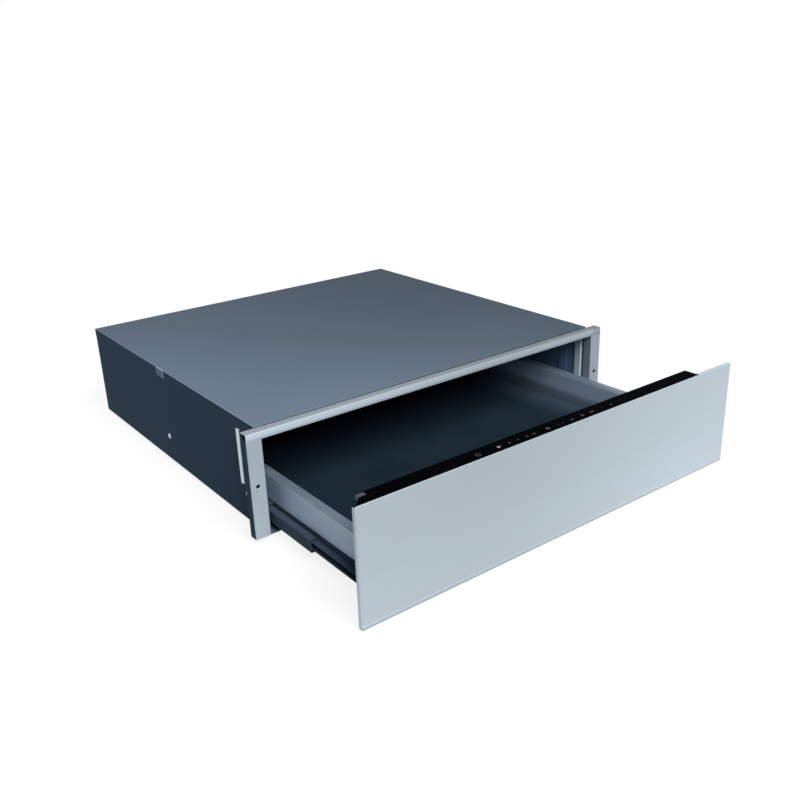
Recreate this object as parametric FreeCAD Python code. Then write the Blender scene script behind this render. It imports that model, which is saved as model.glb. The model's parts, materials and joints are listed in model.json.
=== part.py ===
import FreeCAD, Part
import math
import os

# Built-in warming drawer, 14 cm niche height, drawn with its drawer partly open.
# Frame: X to the right, Y to the back, Z up. The origin is midway between the two
# cabinet fixing holes, in the front face of the bezel. Lengths are in millimetres.

Vec = FreeCAD.Vector

# ---- Housing -------------------------------------------------------------------
housing_width = 555.0
housing_height = 136.0
sheet = 1.0                    # painted steel sheet
fixing_drop = 0.5              # fixing holes below the middle of the housing's height
panel_flange = 12.0            # folded edge along the top of a side panel
cover_lip = 12.0               # folded edge and tabs of the top cover
tab_y = 279.0
tab_width = 22.0
sill_height = 3.5              # folded front edge of the base plate
seam = 0.2                     # gap left between sheets that only lap
foot_height = 6.0
foot_radius = 11.0
foot_taper = 1.5
foot_side_inset = 47.5
foot_front_y = 60.0
foot_back_inset = 50.0

# ---- Bezel ---------------------------------------------------------------------
bezel_overhang = 17.5          # past the housing on each side
bezel_below_roof = 1.5
bezel_depth = 13.0
bezel_sheet = 1.2
top_bar = 9.5
fixing_inset = 9.5             # fixing holes from the bezel's outer edges
fixing_hole_radius = 2.6

# ---- Telescopic slides ---------------------------------------------------------
slide_length = 450.0
slide_height = 24.0
slide_rise = 2.5               # above the underside of the drawer pan
slide_thickness = 12.7         # bracket face to drawer side
slide_sheet = 1.2
bracket_depth = 4.5
bracket_flange = 11.0
slide_setback = 2.0            # behind the bezel's returns
ball_radius = 1.0
ball_clearance = 0.15
cage_sheet = 0.4
cage_length = 200.0
balls_per_row = 8
web_gap = 0.8
stop_gap = 0.6
stop_length = 9.0

# ---- Bright strips near the front of each side wall ----------------------------
slot_setback = 42.0            # middle of the slot behind the bezel's returns
slot_width = 8.5
slot_rise = 5.5                # above the slide bracket's flange
slot_below_roof = 15.0
leaf_clearance = 0.4
leaf_proud = 1.5
leaf_foot = 4.0
post_setback = 11.5            # middle of the post behind the bezel's returns
post_width = 12.5
post_rise = 3.5                # above the slide bracket's flange
post_head_gap = 1.0            # below the bezel's top bar
post_thickness = 2.0

# ---- Drawer --------------------------------------------------------------------
rest_opening = 219.0           # front face of the front to front face of the bezel
drawer_back_gap = 4.7          # back of the drawer in front of the slides' ends
pan_clearance = 1.5            # above the sill of the base plate
pan_rim = 8.0                  # pan's edge above the floor plate
side_width = 13.0
side_height = 34.0             # above the pan's edge
side_round = 2.5
front_wall_drop = 1.0          # below the top of the front's carrier
insulation_thickness = 14.5
heater_thickness = 1.5
heater_margin = 1.2
floor_plate_thickness = 2.0
mat_thickness = 2.0
mat_margin = 1.0
sensor_radius = 7.0
sensor_height = 6.0
back_lip = 12.0
air_slot_width = 3.5
air_slot_margin = 7.0          # above the mat and below the lip
air_slot_pitch = 9.0
air_slots = 13

# ---- Front ---------------------------------------------------------------------
front_overhang = 2.0           # past the bezel on each side
front_below_roof = 1.0
front_drop = 5.0               # below the housing's underside
front_depth = 22.8             # whole front, face to back
closed_gap = 1.7               # front to bezel when shut
skin = 1.2
skin_return = 5.0
skin_round = 2.0
carrier_side_inset = 27.0
carrier_rise = 7.0             # above the bottom edge of the front
front_insulation_thickness = 13.0
plug_length = 45.0
plug_margin = 3.0
screw_inset = 6.0              # screws from the ends of a plug
front_screw_radius = 2.0
screw_head_height = 2.2
hole_clearance = 0.1

# ---- Touch strip ---------------------------------------------------------------
glass_margin = 2.0             # left end of the glass from the front's left edge
glass_end_gap = 67.0           # right end of the glass from the front's right edge
glass_thickness = 3.0
bevel_width = 13.0             # slanted left end of the glass
bevel_depth = 14.0
notch_width = 11.0             # notch behind the slanted end
cap_drop = 1.0
cap_height = 4.0
box_height = 27.0
box_wall = 1.5
box_overlap = 2.0              # glass past the box at the right end
board_post_radius = 3.0
board_thickness = 1.6
board_drop = 6.0               # board's underside below the glass
board_inset = 16.0
touch_pad_radius = 3.0
touch_pads = [-97.5, -70.5, -54.0, -39.5, -26.5, -11.0, 2.5, 51.0, 65.0, 79.0, 107.5]

# ---- Fan -----------------------------------------------------------------------
fan_rise = 2.0                 # above the middle of the housing's height
fan_front_gap = 17.0           # slides' ends to the guard
fan_frame_width = 92.0
fan_frame_depth = 20.0
fan_frame_wall = 4.0
blade_clearance = 3.0
blade_depth = 13.0
blade_thickness = 1.6
blade_pitch = 35.0
blade_root = 1.5               # into the hub
blades = 7
hub_radius = 14.0
shaft_radius = 2.5
shaft_end_gap = 1.8
running_clearance = 0.05
motor_radius = 20.0
motor_length = 22.0
motor_gap = 2.0                # motor to fan frame
motor_floor = 5.5              # behind the bore for the shaft
guard_thickness = 2.0
guard_bar = 2.0
guard_rings = 4
leg_radius = 4.0

# ---- Push-to-open latch --------------------------------------------------------
latch_side_inset = 87.5
latch_drop = 16.0              # below the top of the drawer's sides
latch_wall = 3.7
latch_length = 38.0
plunger_radius = 4.0
plunger_gap = 0.8              # tip to the shut drawer
collar_step = 2.0
collar_length = 3.0
collar_clearance = 0.3
latch_nose = 6.0
latch_floor = 7.0
spring_wire = 0.5
spring_turns = 6

# ---- Mains entry ---------------------------------------------------------------
terminal_side_inset = 67.5
terminal_width = 60.0
terminal_depth = 40.0
terminal_stand = 4.0           # above the base plate's top
terminal_height = 40.0
terminal_wall = 2.0
terminal_block_width = 30.0
terminal_block_depth = 6.0
gland_bore_radius = 4.2
gland_wall = 3.8
gland_flange_step = 3.0
gland_flange = 4.0
gland_nose = 12.0
gland_nose_wall = 2.0
nut_length = 5.0

# ---- Screws and vents ----------------------------------------------------------
housing_screw_radius = 1.9
housing_screw_head = 4.0
housing_screw_crown = 2.4      # top of the domed head
housing_screw_height = 1.8
side_screw_insets = [31.0, 260.0]    # behind the front end of a slide bracket
rear_screw_inset = 37.5
rear_screws_count = 4
vent_width = 3.0
vent_height = 40.0
vent_pitch = 8.0
vents_per_group = 9
vent_group_x = 130.0

# ---- Levels worked out from the sizes above ------------------------------------
underside = fixing_drop - housing_height / 2
roof = underside + housing_height
mid_z = (underside + roof) / 2
bezel_top = roof - bezel_below_roof
bar_bottom = bezel_top - top_bar

pan_floor = underside + sill_height + pan_clearance
insulation_bottom = pan_floor + sheet
heater_bottom = insulation_bottom + insulation_thickness
plate_bottom = heater_bottom + heater_thickness
plate_top = plate_bottom + floor_plate_thickness
pan_top = plate_top + pan_rim
side_roof = pan_top + side_height
screw_rows = [side_roof - plug_margin - screw_inset, pan_top + plug_margin + screw_inset]

half_height = slide_height / 2
slide_z = pan_floor + slide_rise + half_height
ball_gap = 2 * (ball_radius + ball_clearance)
middle_half = half_height - slide_sheet - ball_gap
inner_half = middle_half - slide_sheet - ball_gap
bracket_top = slide_z + half_height
flange_top = bracket_top + bracket_flange
side_screw_z = bracket_top + bracket_flange / 2
rear_screw_z = roof - cover_lip / 2

front_bottom = underside - front_drop
front_top = roof - front_below_roof
glass_bottom = front_top - glass_thickness
carrier_floor = front_bottom + carrier_rise
carrier_roof = glass_bottom - box_height
board_bottom = glass_bottom - board_drop

fan_z = mid_z + fan_rise
latch_z = side_roof - latch_drop
terminal_floor = underside + sheet + terminal_stand
gland_z = terminal_floor + terminal_height / 2

# ---- Planes across the width ---------------------------------------------------
wall_x = housing_width / 2
inner_x = wall_x - sheet
bezel_x = wall_x + bezel_overhang
front_x = bezel_x + front_overhang
stile_inner_x = inner_x - bezel_sheet
fixing_x = bezel_x - fixing_inset

slide_x = inner_x - bracket_depth              # bracket face that carries the slide
outer_web_x = slide_x - slide_sheet
middle_web_x = outer_web_x - web_gap - slide_sheet
inner_tip_x = middle_web_x - web_gap
drawer_x = slide_x - slide_thickness
side_inner_x = drawer_x - side_width
lap_x = drawer_x - sheet - seam                # side profile inside the pan's wall
plug_x = (side_inner_x + lap_x) / 2

carrier_x = front_x - carrier_side_inset
glass_left = glass_margin - front_x
glass_right = front_x - glass_end_gap
glass_middle = (glass_left + glass_right) / 2
bevel_x = glass_left + bevel_width
box_left = bevel_x + notch_width
box_right = glass_right - box_overlap

foot_x = wall_x - foot_side_inset
latch_x = wall_x - latch_side_inset
terminal_x = terminal_side_inset - wall_x

# ---- Planes from front to back -------------------------------------------------
cover_start_y = bezel_depth + seam
post_y = bezel_depth + post_setback
slot_y = bezel_depth + slot_setback
slide_start_y = bezel_depth + slide_setback
slide_end_y = slide_start_y + slide_length
side_screw_rows = [slide_start_y + inset for inset in side_screw_insets]

front_y = -rest_opening
skin_back_y = front_y + skin
box_front_y = front_y + front_depth
closing_travel = rest_opening - front_depth - closed_gap
closed_back_y = slide_end_y - drawer_back_gap
box_back_y = closed_back_y - closing_travel
bevel_y = skin_back_y + bevel_depth
strip_mid_y = (skin_back_y + box_front_y) / 2

fan_front_y = slide_end_y + fan_front_gap + guard_thickness
fan_back_y = fan_front_y + fan_frame_depth
fan_mid_y = (fan_front_y + fan_back_y) / 2
motor_front_y = fan_back_y + motor_gap
rear_y = motor_front_y + motor_length          # inner face of the rear panel
lip_y = rear_y + sheet
housing_depth = lip_y + sheet                  # bezel's front face to the cover's back lip

latch_front_y = rear_y - latch_length
tip_y = closed_back_y - sheet + plunger_gap
collar_y = latch_front_y + latch_nose + seam
bore_end_y = rear_y - latch_floor
terminal_front_y = rear_y - terminal_depth

# ---- Radii that depend on others -----------------------------------------------
fan_bore_radius = fan_frame_width / 2 - fan_frame_wall
blade_radius = fan_bore_radius - blade_clearance
collar_radius = plunger_radius + collar_step
collar_room = collar_radius + collar_clearance
latch_half = collar_room + latch_wall
gland_radius = gland_bore_radius + gland_wall
gland_flange_radius = gland_radius + gland_flange_step
gland_nose_radius = gland_bore_radius + gland_nose_wall
screw_hole_radius = housing_screw_radius + hole_clearance

nodes = {}


# ---- Small helpers -------------------------------------------------------------
def block(x0, x1, y0, y1, z0, z1):
    """Box between two corners."""
    return Part.makeBox(x1 - x0, y1 - y0, z1 - z0, Vec(x0, y0, z0))


def rod_x(radius, x0, x1, y, z):
    """Cylinder along X."""
    return Part.makeCylinder(radius, x1 - x0, Vec(x0, y, z), Vec(1, 0, 0))


def rod_y(radius, x, y0, y1, z):
    """Cylinder along Y."""
    return Part.makeCylinder(radius, y1 - y0, Vec(x, y0, z), Vec(0, 1, 0))


def rod_z(radius, x, y, z0, z1):
    """Cylinder along Z."""
    return Part.makeCylinder(radius, z1 - z0, Vec(x, y, z0), Vec(0, 0, 1))


def joined(shapes):
    """One solid from touching or overlapping ones, without seams."""
    whole = shapes[0].fuse(shapes[1:])
    return whole.removeSplitter()


def without(body, cutters):
    """Body with every cutter taken away."""
    return body.cut(cutters)


def group(shapes):
    """Separate solids kept in one node."""
    return Part.makeCompound(shapes)


def mirrored(shape):
    """The same shape on the other side of the middle plane."""
    return shape.mirror(Vec(0, 0, 0), Vec(1, 0, 0))


def add_pair(name, right_shape):
    """A right-hand node and its left-hand twin."""
    nodes[name + "_right"] = right_shape
    nodes[name + "_left"] = mirrored(right_shape)


def rounded_plate(x0, x1, y0, y1, z0, z1, radius):
    """Upright plate with its four corners rounded about Y."""
    plate = block(x0, x1, y0, y1, z0, z1)
    corners = [e for e in plate.Edges if abs(e.tangentAt(e.FirstParameter).y) > 0.9]
    return plate.makeFillet(radius, corners)


# ---- Housing -------------------------------------------------------------------
def base_plate():
    plate = block(-inner_x, inner_x, bezel_sheet, rear_y, underside, underside + sheet)
    sill_x = stile_inner_x - seam
    sill = block(-sill_x, sill_x, bezel_sheet, bezel_sheet + sheet,
                 underside, underside + sill_height)
    front_notches = [
        block(side * inner_x - bezel_sheet - seam, side * inner_x + bezel_sheet + seam,
              0, bezel_depth + seam, underside - sheet, underside + 2 * sheet)
        for side in (-1, 1)
    ]
    return joined([without(plate, front_notches), sill])


def side_panel():
    """Right side panel: flat sheet, folded in at the top, slotted near the front."""
    wall = block(inner_x, wall_x, bezel_sheet, lip_y, underside, roof - sheet)
    flange = block(wall_x - panel_flange, wall_x, cover_start_y + sheet, rear_y - seam,
                   roof - 2 * sheet, roof - sheet)
    corner = block(inner_x - sheet, wall_x + sheet, 0, cover_start_y,
                   bezel_top - bezel_sheet - seam, roof)
    slot = block(inner_x - sheet, wall_x + sheet,
                 slot_y - slot_width / 2, slot_y + slot_width / 2,
                 flange_top + slot_rise, roof - slot_below_roof)
    holes = [rod_x(screw_hole_radius, inner_x - sheet, wall_x + sheet, y, side_screw_z)
             for y in side_screw_rows]
    return without(joined([wall, flange]), [corner, slot] + holes)


def vent_slots():
    """Upright vent slots in the rear panel, in two groups."""
    half = (vents_per_group - 1) / 2
    slots = []
    for centre in (-vent_group_x, vent_group_x):
        for i in range(vents_per_group):
            x = centre + (i - half) * vent_pitch
            slots.append(block(x - vent_width / 2, x + vent_width / 2, rear_y - sheet, lip_y + sheet,
                               fan_z - vent_height / 2, fan_z + vent_height / 2))
    return slots


def rear_screw_places():
    """Places across the width of the screws along the cover's back lip."""
    end = wall_x - rear_screw_inset
    pitch = 2 * end / (rear_screws_count - 1)
    return [i * pitch - end for i in range(rear_screws_count)]


def rear_panel():
    panel = block(-inner_x, inner_x, rear_y, lip_y, underside, roof - sheet)
    gland_hole = rod_y(gland_radius + hole_clearance, terminal_x, rear_y - sheet, lip_y + sheet, gland_z)
    screw_holes = [rod_y(screw_hole_radius, x, rear_y - sheet, lip_y + sheet, rear_screw_z)
                   for x in rear_screw_places()]
    return without(panel, vent_slots() + [gland_hole] + screw_holes)


def top_cover():
    """Flat sheet with a lip down the back and one tab down each side."""
    sheet_top = block(-wall_x, wall_x, cover_start_y, housing_depth, roof - sheet, roof)
    lip = block(-wall_x, wall_x, lip_y, housing_depth, roof - cover_lip, roof)
    pieces = [sheet_top, lip]
    for side in (-1, 1):
        outer = side * (wall_x + sheet)
        inner = side * wall_x
        root = side * (wall_x - sheet)
        pieces.append(block(min(outer, inner), max(outer, inner), tab_y - tab_width / 2,
                            tab_y + tab_width / 2, roof - cover_lip, roof))
        pieces.append(block(min(outer, root), max(outer, root), tab_y - tab_width / 2,
                            tab_y + tab_width / 2, roof - sheet, roof))
    holes = [rod_y(screw_hole_radius, x, rear_y, housing_depth + sheet, rear_screw_z)
             for x in rear_screw_places()]
    return without(joined(pieces), holes)


def feet():
    shapes = []
    for x in (-foot_x, foot_x):
        for y in (foot_front_y, housing_depth - foot_back_inset):
            shapes.append(Part.makeCone(foot_radius - foot_taper, foot_radius, foot_height,
                                        Vec(x, y, underside - foot_height), Vec(0, 0, 1)))
    return group(shapes)


nodes["base_plate"] = base_plate()
add_pair("side_panel", side_panel())
nodes["rear_panel"] = rear_panel()
nodes["top_cover"] = top_cover()
nodes["feet"] = feet()


# ---- Bezel ---------------------------------------------------------------------
def bezel_stile():
    """Right stile: front face with a fixing hole, and a return along each edge."""
    face = block(stile_inner_x, bezel_x, 0, bezel_sheet, underside, bar_bottom)
    outer = block(bezel_x - bezel_sheet, bezel_x, 0, bezel_depth, underside, bar_bottom)
    inner = block(stile_inner_x, inner_x, 0, bezel_depth, underside, bar_bottom)
    foot = block(inner_x, bezel_x, 0, bezel_depth, underside, underside + bezel_sheet)
    relief = block(inner_x, wall_x + seam, bezel_sheet, bezel_depth + seam,
                   underside - sheet, underside + 2 * bezel_sheet)
    hole = rod_y(fixing_hole_radius, fixing_x, -sheet, bezel_sheet + sheet, 0)
    return without(joined([face, outer, inner, foot]), [relief, hole])


def bezel_top_rail():
    """Top bar across both stiles, folded back along its top edge and closed at its ends."""
    face = block(-bezel_x, bezel_x, 0, bezel_sheet, bar_bottom, bezel_top)
    top = block(-bezel_x, bezel_x, 0, bezel_depth, bezel_top - bezel_sheet, bezel_top)
    ends = [block(-bezel_x, -bezel_x + bezel_sheet, 0, bezel_depth, bar_bottom, bezel_top),
            block(bezel_x - bezel_sheet, bezel_x, 0, bezel_depth, bar_bottom, bezel_top)]
    return joined([face, top] + ends)


add_pair("bezel_stile", bezel_stile())
nodes["bezel_top_rail"] = bezel_top_rail()


# ---- Bright strips -------------------------------------------------------------
def niche_leaf():
    """Springy leaf that stands out through the slot, with a foot on the inner wall."""
    half = slot_width / 2 - leaf_clearance
    bottom = flange_top + slot_rise + leaf_clearance
    top = roof - slot_below_roof - leaf_clearance
    leaf = block(inner_x - sheet, wall_x + leaf_proud, slot_y - half, slot_y + half, bottom, top)
    foot = block(inner_x - sheet, inner_x, slot_y - half - leaf_foot, slot_y + half + leaf_foot, bottom, top)
    return joined([leaf, foot])


def front_post():
    """Upright stiffener against the inner wall, just behind the stile."""
    return block(inner_x - post_thickness, inner_x, post_y - post_width / 2, post_y + post_width / 2,
                 flange_top + post_rise, bar_bottom - post_head_gap)


add_pair("niche_leaf", niche_leaf())
add_pair("front_post", front_post())


# ---- Slides --------------------------------------------------------------------
def channel(web_x0, web_x1, flange_x, half, thickness, y0, y1):
    """U section along Y: a web between two x values and flanges that reach flange_x."""
    low = min(web_x0, flange_x)
    high = max(web_x1, flange_x)
    web = block(web_x0, web_x1, y0, y1, slide_z - half, slide_z + half)
    upper = block(low, high, y0, y1, slide_z + half - thickness, slide_z + half)
    lower = block(low, high, y0, y1, slide_z - half, slide_z - half + thickness)
    return joined([web, upper, lower])


def slide_bracket():
    """Folded bracket that stands the slide off the side panel."""
    y0 = slide_start_y
    y1 = slide_end_y + stop_gap + stop_length
    body = channel(slide_x, slide_x + slide_sheet, inner_x, half_height, slide_sheet, y0, y1)
    flange = block(inner_x - slide_sheet, inner_x, y0, y1, bracket_top - slide_sheet, flange_top)
    holes = [rod_x(screw_hole_radius, slide_x, wall_x, y, side_screw_z) for y in side_screw_rows]
    return without(joined([body, flange]), holes)


def slide_outer():
    return channel(outer_web_x, slide_x, drawer_x + web_gap, half_height, slide_sheet,
                   slide_start_y, slide_end_y)


def slide_middle():
    start = slide_start_y - closing_travel / 2
    return channel(middle_web_x, middle_web_x + slide_sheet, drawer_x + slide_sheet + web_gap,
                   middle_half, slide_sheet, start, start + slide_length)


def slide_inner():
    start = slide_start_y - closing_travel
    return channel(drawer_x, drawer_x + slide_sheet, inner_tip_x, inner_half, slide_sheet,
                   start, start + slide_length)


def ball_cage(web_x, gap_half, tip_x, centre_y):
    """Retainer with a row of balls above and below, between two slide members."""
    mid = gap_half + ball_gap / 2
    half = mid + cage_sheet / 2
    y0 = centre_y - cage_length / 2
    retainer = channel(web_x, web_x + cage_sheet, tip_x, half, cage_sheet, y0, y0 + cage_length)
    pitch = cage_length / balls_per_row
    ball_x = (tip_x + web_x) / 2
    balls = []
    pockets = []
    for i in range(balls_per_row):
        for level in (slide_z - mid, slide_z + mid):
            y = y0 + (i + 0.5) * pitch
            balls.append(Part.makeSphere(ball_radius, Vec(ball_x, y, level)))
            pockets.append(rod_z(ball_radius + ball_clearance, ball_x, y, level - ball_gap, level + ball_gap))
    return group([without(retainer, pockets)] + balls)


def cage_outer():
    """Cage between the outer and the middle member; it moves a quarter as far as the drawer."""
    web_x = middle_web_x + slide_sheet + (web_gap - cage_sheet) / 2
    centre = slide_start_y + slide_length / 2 - closing_travel / 4
    return ball_cage(web_x, middle_half, drawer_x + slide_sheet + 2 * web_gap, centre)


def cage_inner():
    """Cage between the middle and the inner member; it moves three quarters as far as the drawer."""
    web_x = inner_tip_x + (web_gap - cage_sheet) / 2
    centre = slide_start_y + slide_length / 2 - closing_travel * 3 / 4
    return ball_cage(web_x, inner_half, drawer_x + slide_sheet + 2 * web_gap, centre)


def slide_stop():
    """Rubber block behind the inner member, at the shut end of its travel."""
    y0 = slide_end_y + stop_gap
    return block(drawer_x + web_gap, slide_x, y0, y0 + stop_length,
                 slide_z - inner_half, slide_z + inner_half)


add_pair("slide_bracket", slide_bracket())
add_pair("slide_outer", slide_outer())
add_pair("slide_middle", slide_middle())
add_pair("slide_inner", slide_inner())
add_pair("ball_cage_outer", cage_outer())
add_pair("ball_cage_inner", cage_inner())
nodes["slide_stops"] = group([slide_stop(), mirrored(slide_stop())])


# ---- Screws of the housing -----------------------------------------------------
def side_screws():
    """Button-head screws through the side panels into the slide brackets."""
    screws = []
    for y in side_screw_rows:
        head = Part.makeCone(housing_screw_head, housing_screw_crown, housing_screw_height,
                             Vec(wall_x, y, side_screw_z), Vec(1, 0, 0))
        shank = rod_x(housing_screw_radius, inner_x - slide_sheet, wall_x, y, side_screw_z)
        screw = joined([head, shank])
        screws.append(screw)
        screws.append(mirrored(screw))
    return screws


def rear_screws():
    """Screws that hold the cover's back lip to the rear panel."""
    screws = []
    for x in rear_screw_places():
        head = Part.makeCone(housing_screw_head, housing_screw_crown, housing_screw_height,
                             Vec(x, housing_depth, rear_screw_z), Vec(0, 1, 0))
        shank = rod_y(housing_screw_radius, x, rear_y, housing_depth, rear_screw_z)
        screws.append(joined([head, shank]))
    return screws


nodes["housing_screws"] = group(side_screws() + rear_screws())


# ---- Drawer box ----------------------------------------------------------------
def drawer_pan():
    outer = block(-drawer_x, drawer_x, box_front_y, box_back_y, pan_floor, pan_top)
    hollow = block(-drawer_x + sheet, drawer_x - sheet, box_front_y + sheet, box_back_y - sheet,
                   insulation_bottom, pan_top + sheet)
    return outer.cut(hollow)


def drawer_side():
    """Right side profile: hollow, rounded along its top edges, lapped inside the pan's wall."""
    y0 = box_front_y + sheet
    y1 = box_back_y - sheet
    upper = block(side_inner_x, drawer_x, y0, y1, pan_top, side_roof)
    top_edges = [e for e in upper.Edges
                 if e.CenterOfMass.z > side_roof - sheet / 2 and e.Length > (y1 - y0) / 2]
    upper = upper.makeFillet(side_round, top_edges)
    lower = block(side_inner_x, lap_x, y0, y1, plate_top, pan_top)
    return joined([upper, lower]).cut(side_hollow(y0 - sheet, y1 + sheet))


def side_hollow(y0, y1):
    """Room inside a side profile."""
    return block(side_inner_x + sheet, lap_x - sheet, y0, y1, plate_top + sheet, side_roof - side_round)


def drawer_front_wall():
    return block(-side_inner_x, side_inner_x, box_front_y + sheet, box_front_y + 2 * sheet,
                 plate_top, carrier_roof - front_wall_drop)


def drawer_back():
    """Back wall with a row of slots for the warm air."""
    y1 = box_back_y - sheet
    wall = block(-side_inner_x, side_inner_x, y1 - sheet, y1, plate_top, side_roof)
    lip = block(-side_inner_x, side_inner_x, y1 - back_lip, y1, side_roof - sheet, side_roof)
    slots = []
    for i in range(air_slots):
        x = (i - (air_slots - 1) / 2) * air_slot_pitch
        slots.append(block(x - air_slot_width / 2, x + air_slot_width / 2, y1 - 2 * sheet, y1 + sheet,
                           plate_top + mat_thickness + air_slot_margin, side_roof - air_slot_margin))
    return without(joined([wall, lip]), slots)


def pan_layer(margin, z0, z1):
    """Flat layer that fills the pan up to a margin from its walls."""
    x = drawer_x - sheet - margin
    return block(-x, x, box_front_y + sheet + margin, box_back_y - sheet - margin, z0, z1)


def sensor_seat(extra):
    """Room for the temperature sensor under the middle of the floor."""
    y = (box_front_y + box_back_y) / 2
    return rod_z(sensor_radius + extra, 0, y, heater_bottom - sensor_height, heater_bottom)


def anti_slip_mat():
    x = side_inner_x - mat_margin
    return block(-x, x, box_front_y + 2 * sheet + mat_margin, box_back_y - 2 * sheet - mat_margin,
                 plate_top, plate_top + mat_thickness)


nodes["drawer_pan"] = drawer_pan()
add_pair("drawer_side", drawer_side())
nodes["drawer_front_wall"] = drawer_front_wall()
nodes["drawer_back"] = drawer_back()
nodes["insulation_pad"] = pan_layer(seam, insulation_bottom, heater_bottom).cut(sensor_seat(seam))
nodes["temperature_sensor"] = sensor_seat(0)
nodes["heating_mat"] = pan_layer(heater_margin, heater_bottom, plate_bottom)
nodes["floor_plate"] = pan_layer(seam, plate_bottom, plate_top)
nodes["anti_slip_mat"] = anti_slip_mat()


# ---- Front ---------------------------------------------------------------------
def front_skin():
    """Steel tray, open at the back; its top return is left out where the glass strip lies."""
    tray = rounded_plate(-front_x, front_x, front_y, front_y + skin_return, front_bottom, front_top,
                         skin_round)
    hollow = rounded_plate(-front_x + skin, front_x - skin, skin_back_y, front_y + 2 * skin_return,
                           front_bottom + skin, front_top - skin, skin_round - skin / 2)
    strip_room = block(glass_left - seam, glass_right + seam, skin_back_y, front_y + 2 * skin_return,
                       front_top - 2 * skin, front_top + skin)
    return without(tray, [hollow, strip_room])


def front_carrier():
    """Folded steel box behind the skin, which the drawer box is screwed to."""
    outer = block(-carrier_x, carrier_x, skin_back_y, box_front_y, carrier_floor, carrier_roof)
    hollow = block(-carrier_x + sheet, carrier_x - sheet, skin_back_y - sheet, box_front_y - sheet,
                   carrier_floor + sheet, carrier_roof - sheet)
    holes = [rod_y(front_screw_radius + hole_clearance, side * plug_x, box_front_y - 2 * sheet,
                   box_front_y + sheet, z) for side in (-1, 1) for z in screw_rows]
    return without(outer, [hollow] + holes)


def front_plug():
    """Block inside the front end of a side profile that takes the front's screws."""
    body = block(side_inner_x + sheet, lap_x - sheet, box_front_y, box_front_y + plug_length,
                 pan_top + plug_margin, side_roof - plug_margin)
    holes = [rod_y(front_screw_radius + hole_clearance, plug_x, box_front_y - sheet,
                   box_front_y + plug_length / 2, z) for z in screw_rows]
    return without(body, holes)


def front_screws():
    screws = []
    for side in (-1, 1):
        for z in screw_rows:
            x = side * plug_x
            head_y = box_front_y - sheet
            head = rod_y(2 * front_screw_radius, x, head_y - screw_head_height, head_y, z)
            shank = rod_y(front_screw_radius, x, head_y, head_y + plug_length / 2, z)
            screws.append(joined([head, shank]))
    return group(screws)


def front_insulation():
    half = carrier_x - sheet - seam
    return block(-half, half, skin_back_y + seam, skin_back_y + seam + front_insulation_thickness,
                 carrier_floor + sheet + seam, carrier_roof - sheet - seam)


nodes["front_skin"] = front_skin()
nodes["front_carrier"] = front_carrier()
nodes["front_insulation"] = front_insulation()
add_pair("front_plug", front_plug())
nodes["front_screws"] = front_screws()


# ---- Touch strip ---------------------------------------------------------------
def control_glass():
    """Black glass along the top edge of the front, slanted and notched at its left end."""
    outline = [(glass_left, skin_back_y), (glass_right, skin_back_y), (glass_right, box_front_y),
               (box_left, box_front_y), (box_left, bevel_y), (bevel_x, bevel_y), (glass_left, skin_back_y)]
    face = Part.Face(Part.makePolygon([Vec(x, y, glass_bottom) for x, y in outline]))
    return face.extrude(Vec(0, 0, glass_thickness))


def corner_cap():
    """Small cap in the notch, carried by the end of the control box."""
    return block(bevel_x, box_left, bevel_y + seam, box_front_y,
                 front_top - cap_drop - cap_height, front_top - cap_drop)


def control_box():
    """Plastic trough under the glass, with posts for the board."""
    outer = block(box_left, box_right, skin_back_y, box_front_y, carrier_roof, glass_bottom)
    floor_z = carrier_roof + box_wall
    hollow = block(box_left + box_wall, box_right - box_wall, skin_back_y + box_wall,
                   box_front_y - box_wall, floor_z, glass_bottom + 1)
    posts = [rod_z(board_post_radius, x, strip_mid_y, floor_z, board_bottom)
             for x in (box_left + 2 * board_inset, (box_left + box_right) / 2, box_right - 2 * board_inset)]
    return joined([outer.cut(hollow)] + posts)


def control_board():
    return block(box_left + board_inset, box_right - board_inset, skin_back_y + 2 * box_wall,
                 box_front_y - 2 * box_wall, board_bottom, board_bottom + board_thickness)


def touch_pad_group():
    """Sensor pads between the board and the glass, one under each touch symbol."""
    pads = [rod_z(touch_pad_radius, glass_middle + x, strip_mid_y, board_bottom + board_thickness,
                  glass_bottom) for x in touch_pads]
    return group(pads)


nodes["control_glass"] = control_glass()
nodes["corner_cap"] = corner_cap()
nodes["control_box"] = control_box()
nodes["control_board"] = control_board()
nodes["touch_pads"] = touch_pad_group()


# ---- Fan -----------------------------------------------------------------------
def fan_frame():
    half = fan_frame_width / 2
    frame = block(-half, half, fan_front_y, fan_back_y, fan_z - half, fan_z + half)
    bore = rod_y(fan_bore_radius, 0, fan_front_y - 1, fan_back_y + 1, fan_z)
    reach = half - leg_radius
    legs = [rod_y(leg_radius, x, fan_back_y, rear_y, fan_z + z)
            for x in (-reach, reach) for z in (-reach, reach)]
    return joined([frame.cut(bore)] + legs)


def fan_guard():
    """Flat wire guard in front of the fan."""
    y0 = fan_front_y - guard_thickness
    pieces = []
    for i in range(guard_rings):
        radius = fan_bore_radius * (i + 1) / guard_rings + guard_bar / 2
        pieces.append(rod_y(radius, 0, y0, fan_front_y, fan_z).cut(
            rod_y(radius - guard_bar, 0, y0 - 1, fan_front_y + 1, fan_z)))
    bar = block(-fan_bore_radius, fan_bore_radius, y0, fan_front_y,
                fan_z - guard_bar / 2, fan_z + guard_bar / 2)
    for turn in (45, 135):
        pieces.append(bar.copy().rotate(Vec(0, 0, fan_z), Vec(0, 1, 0), turn))
    return joined(pieces)


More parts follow.
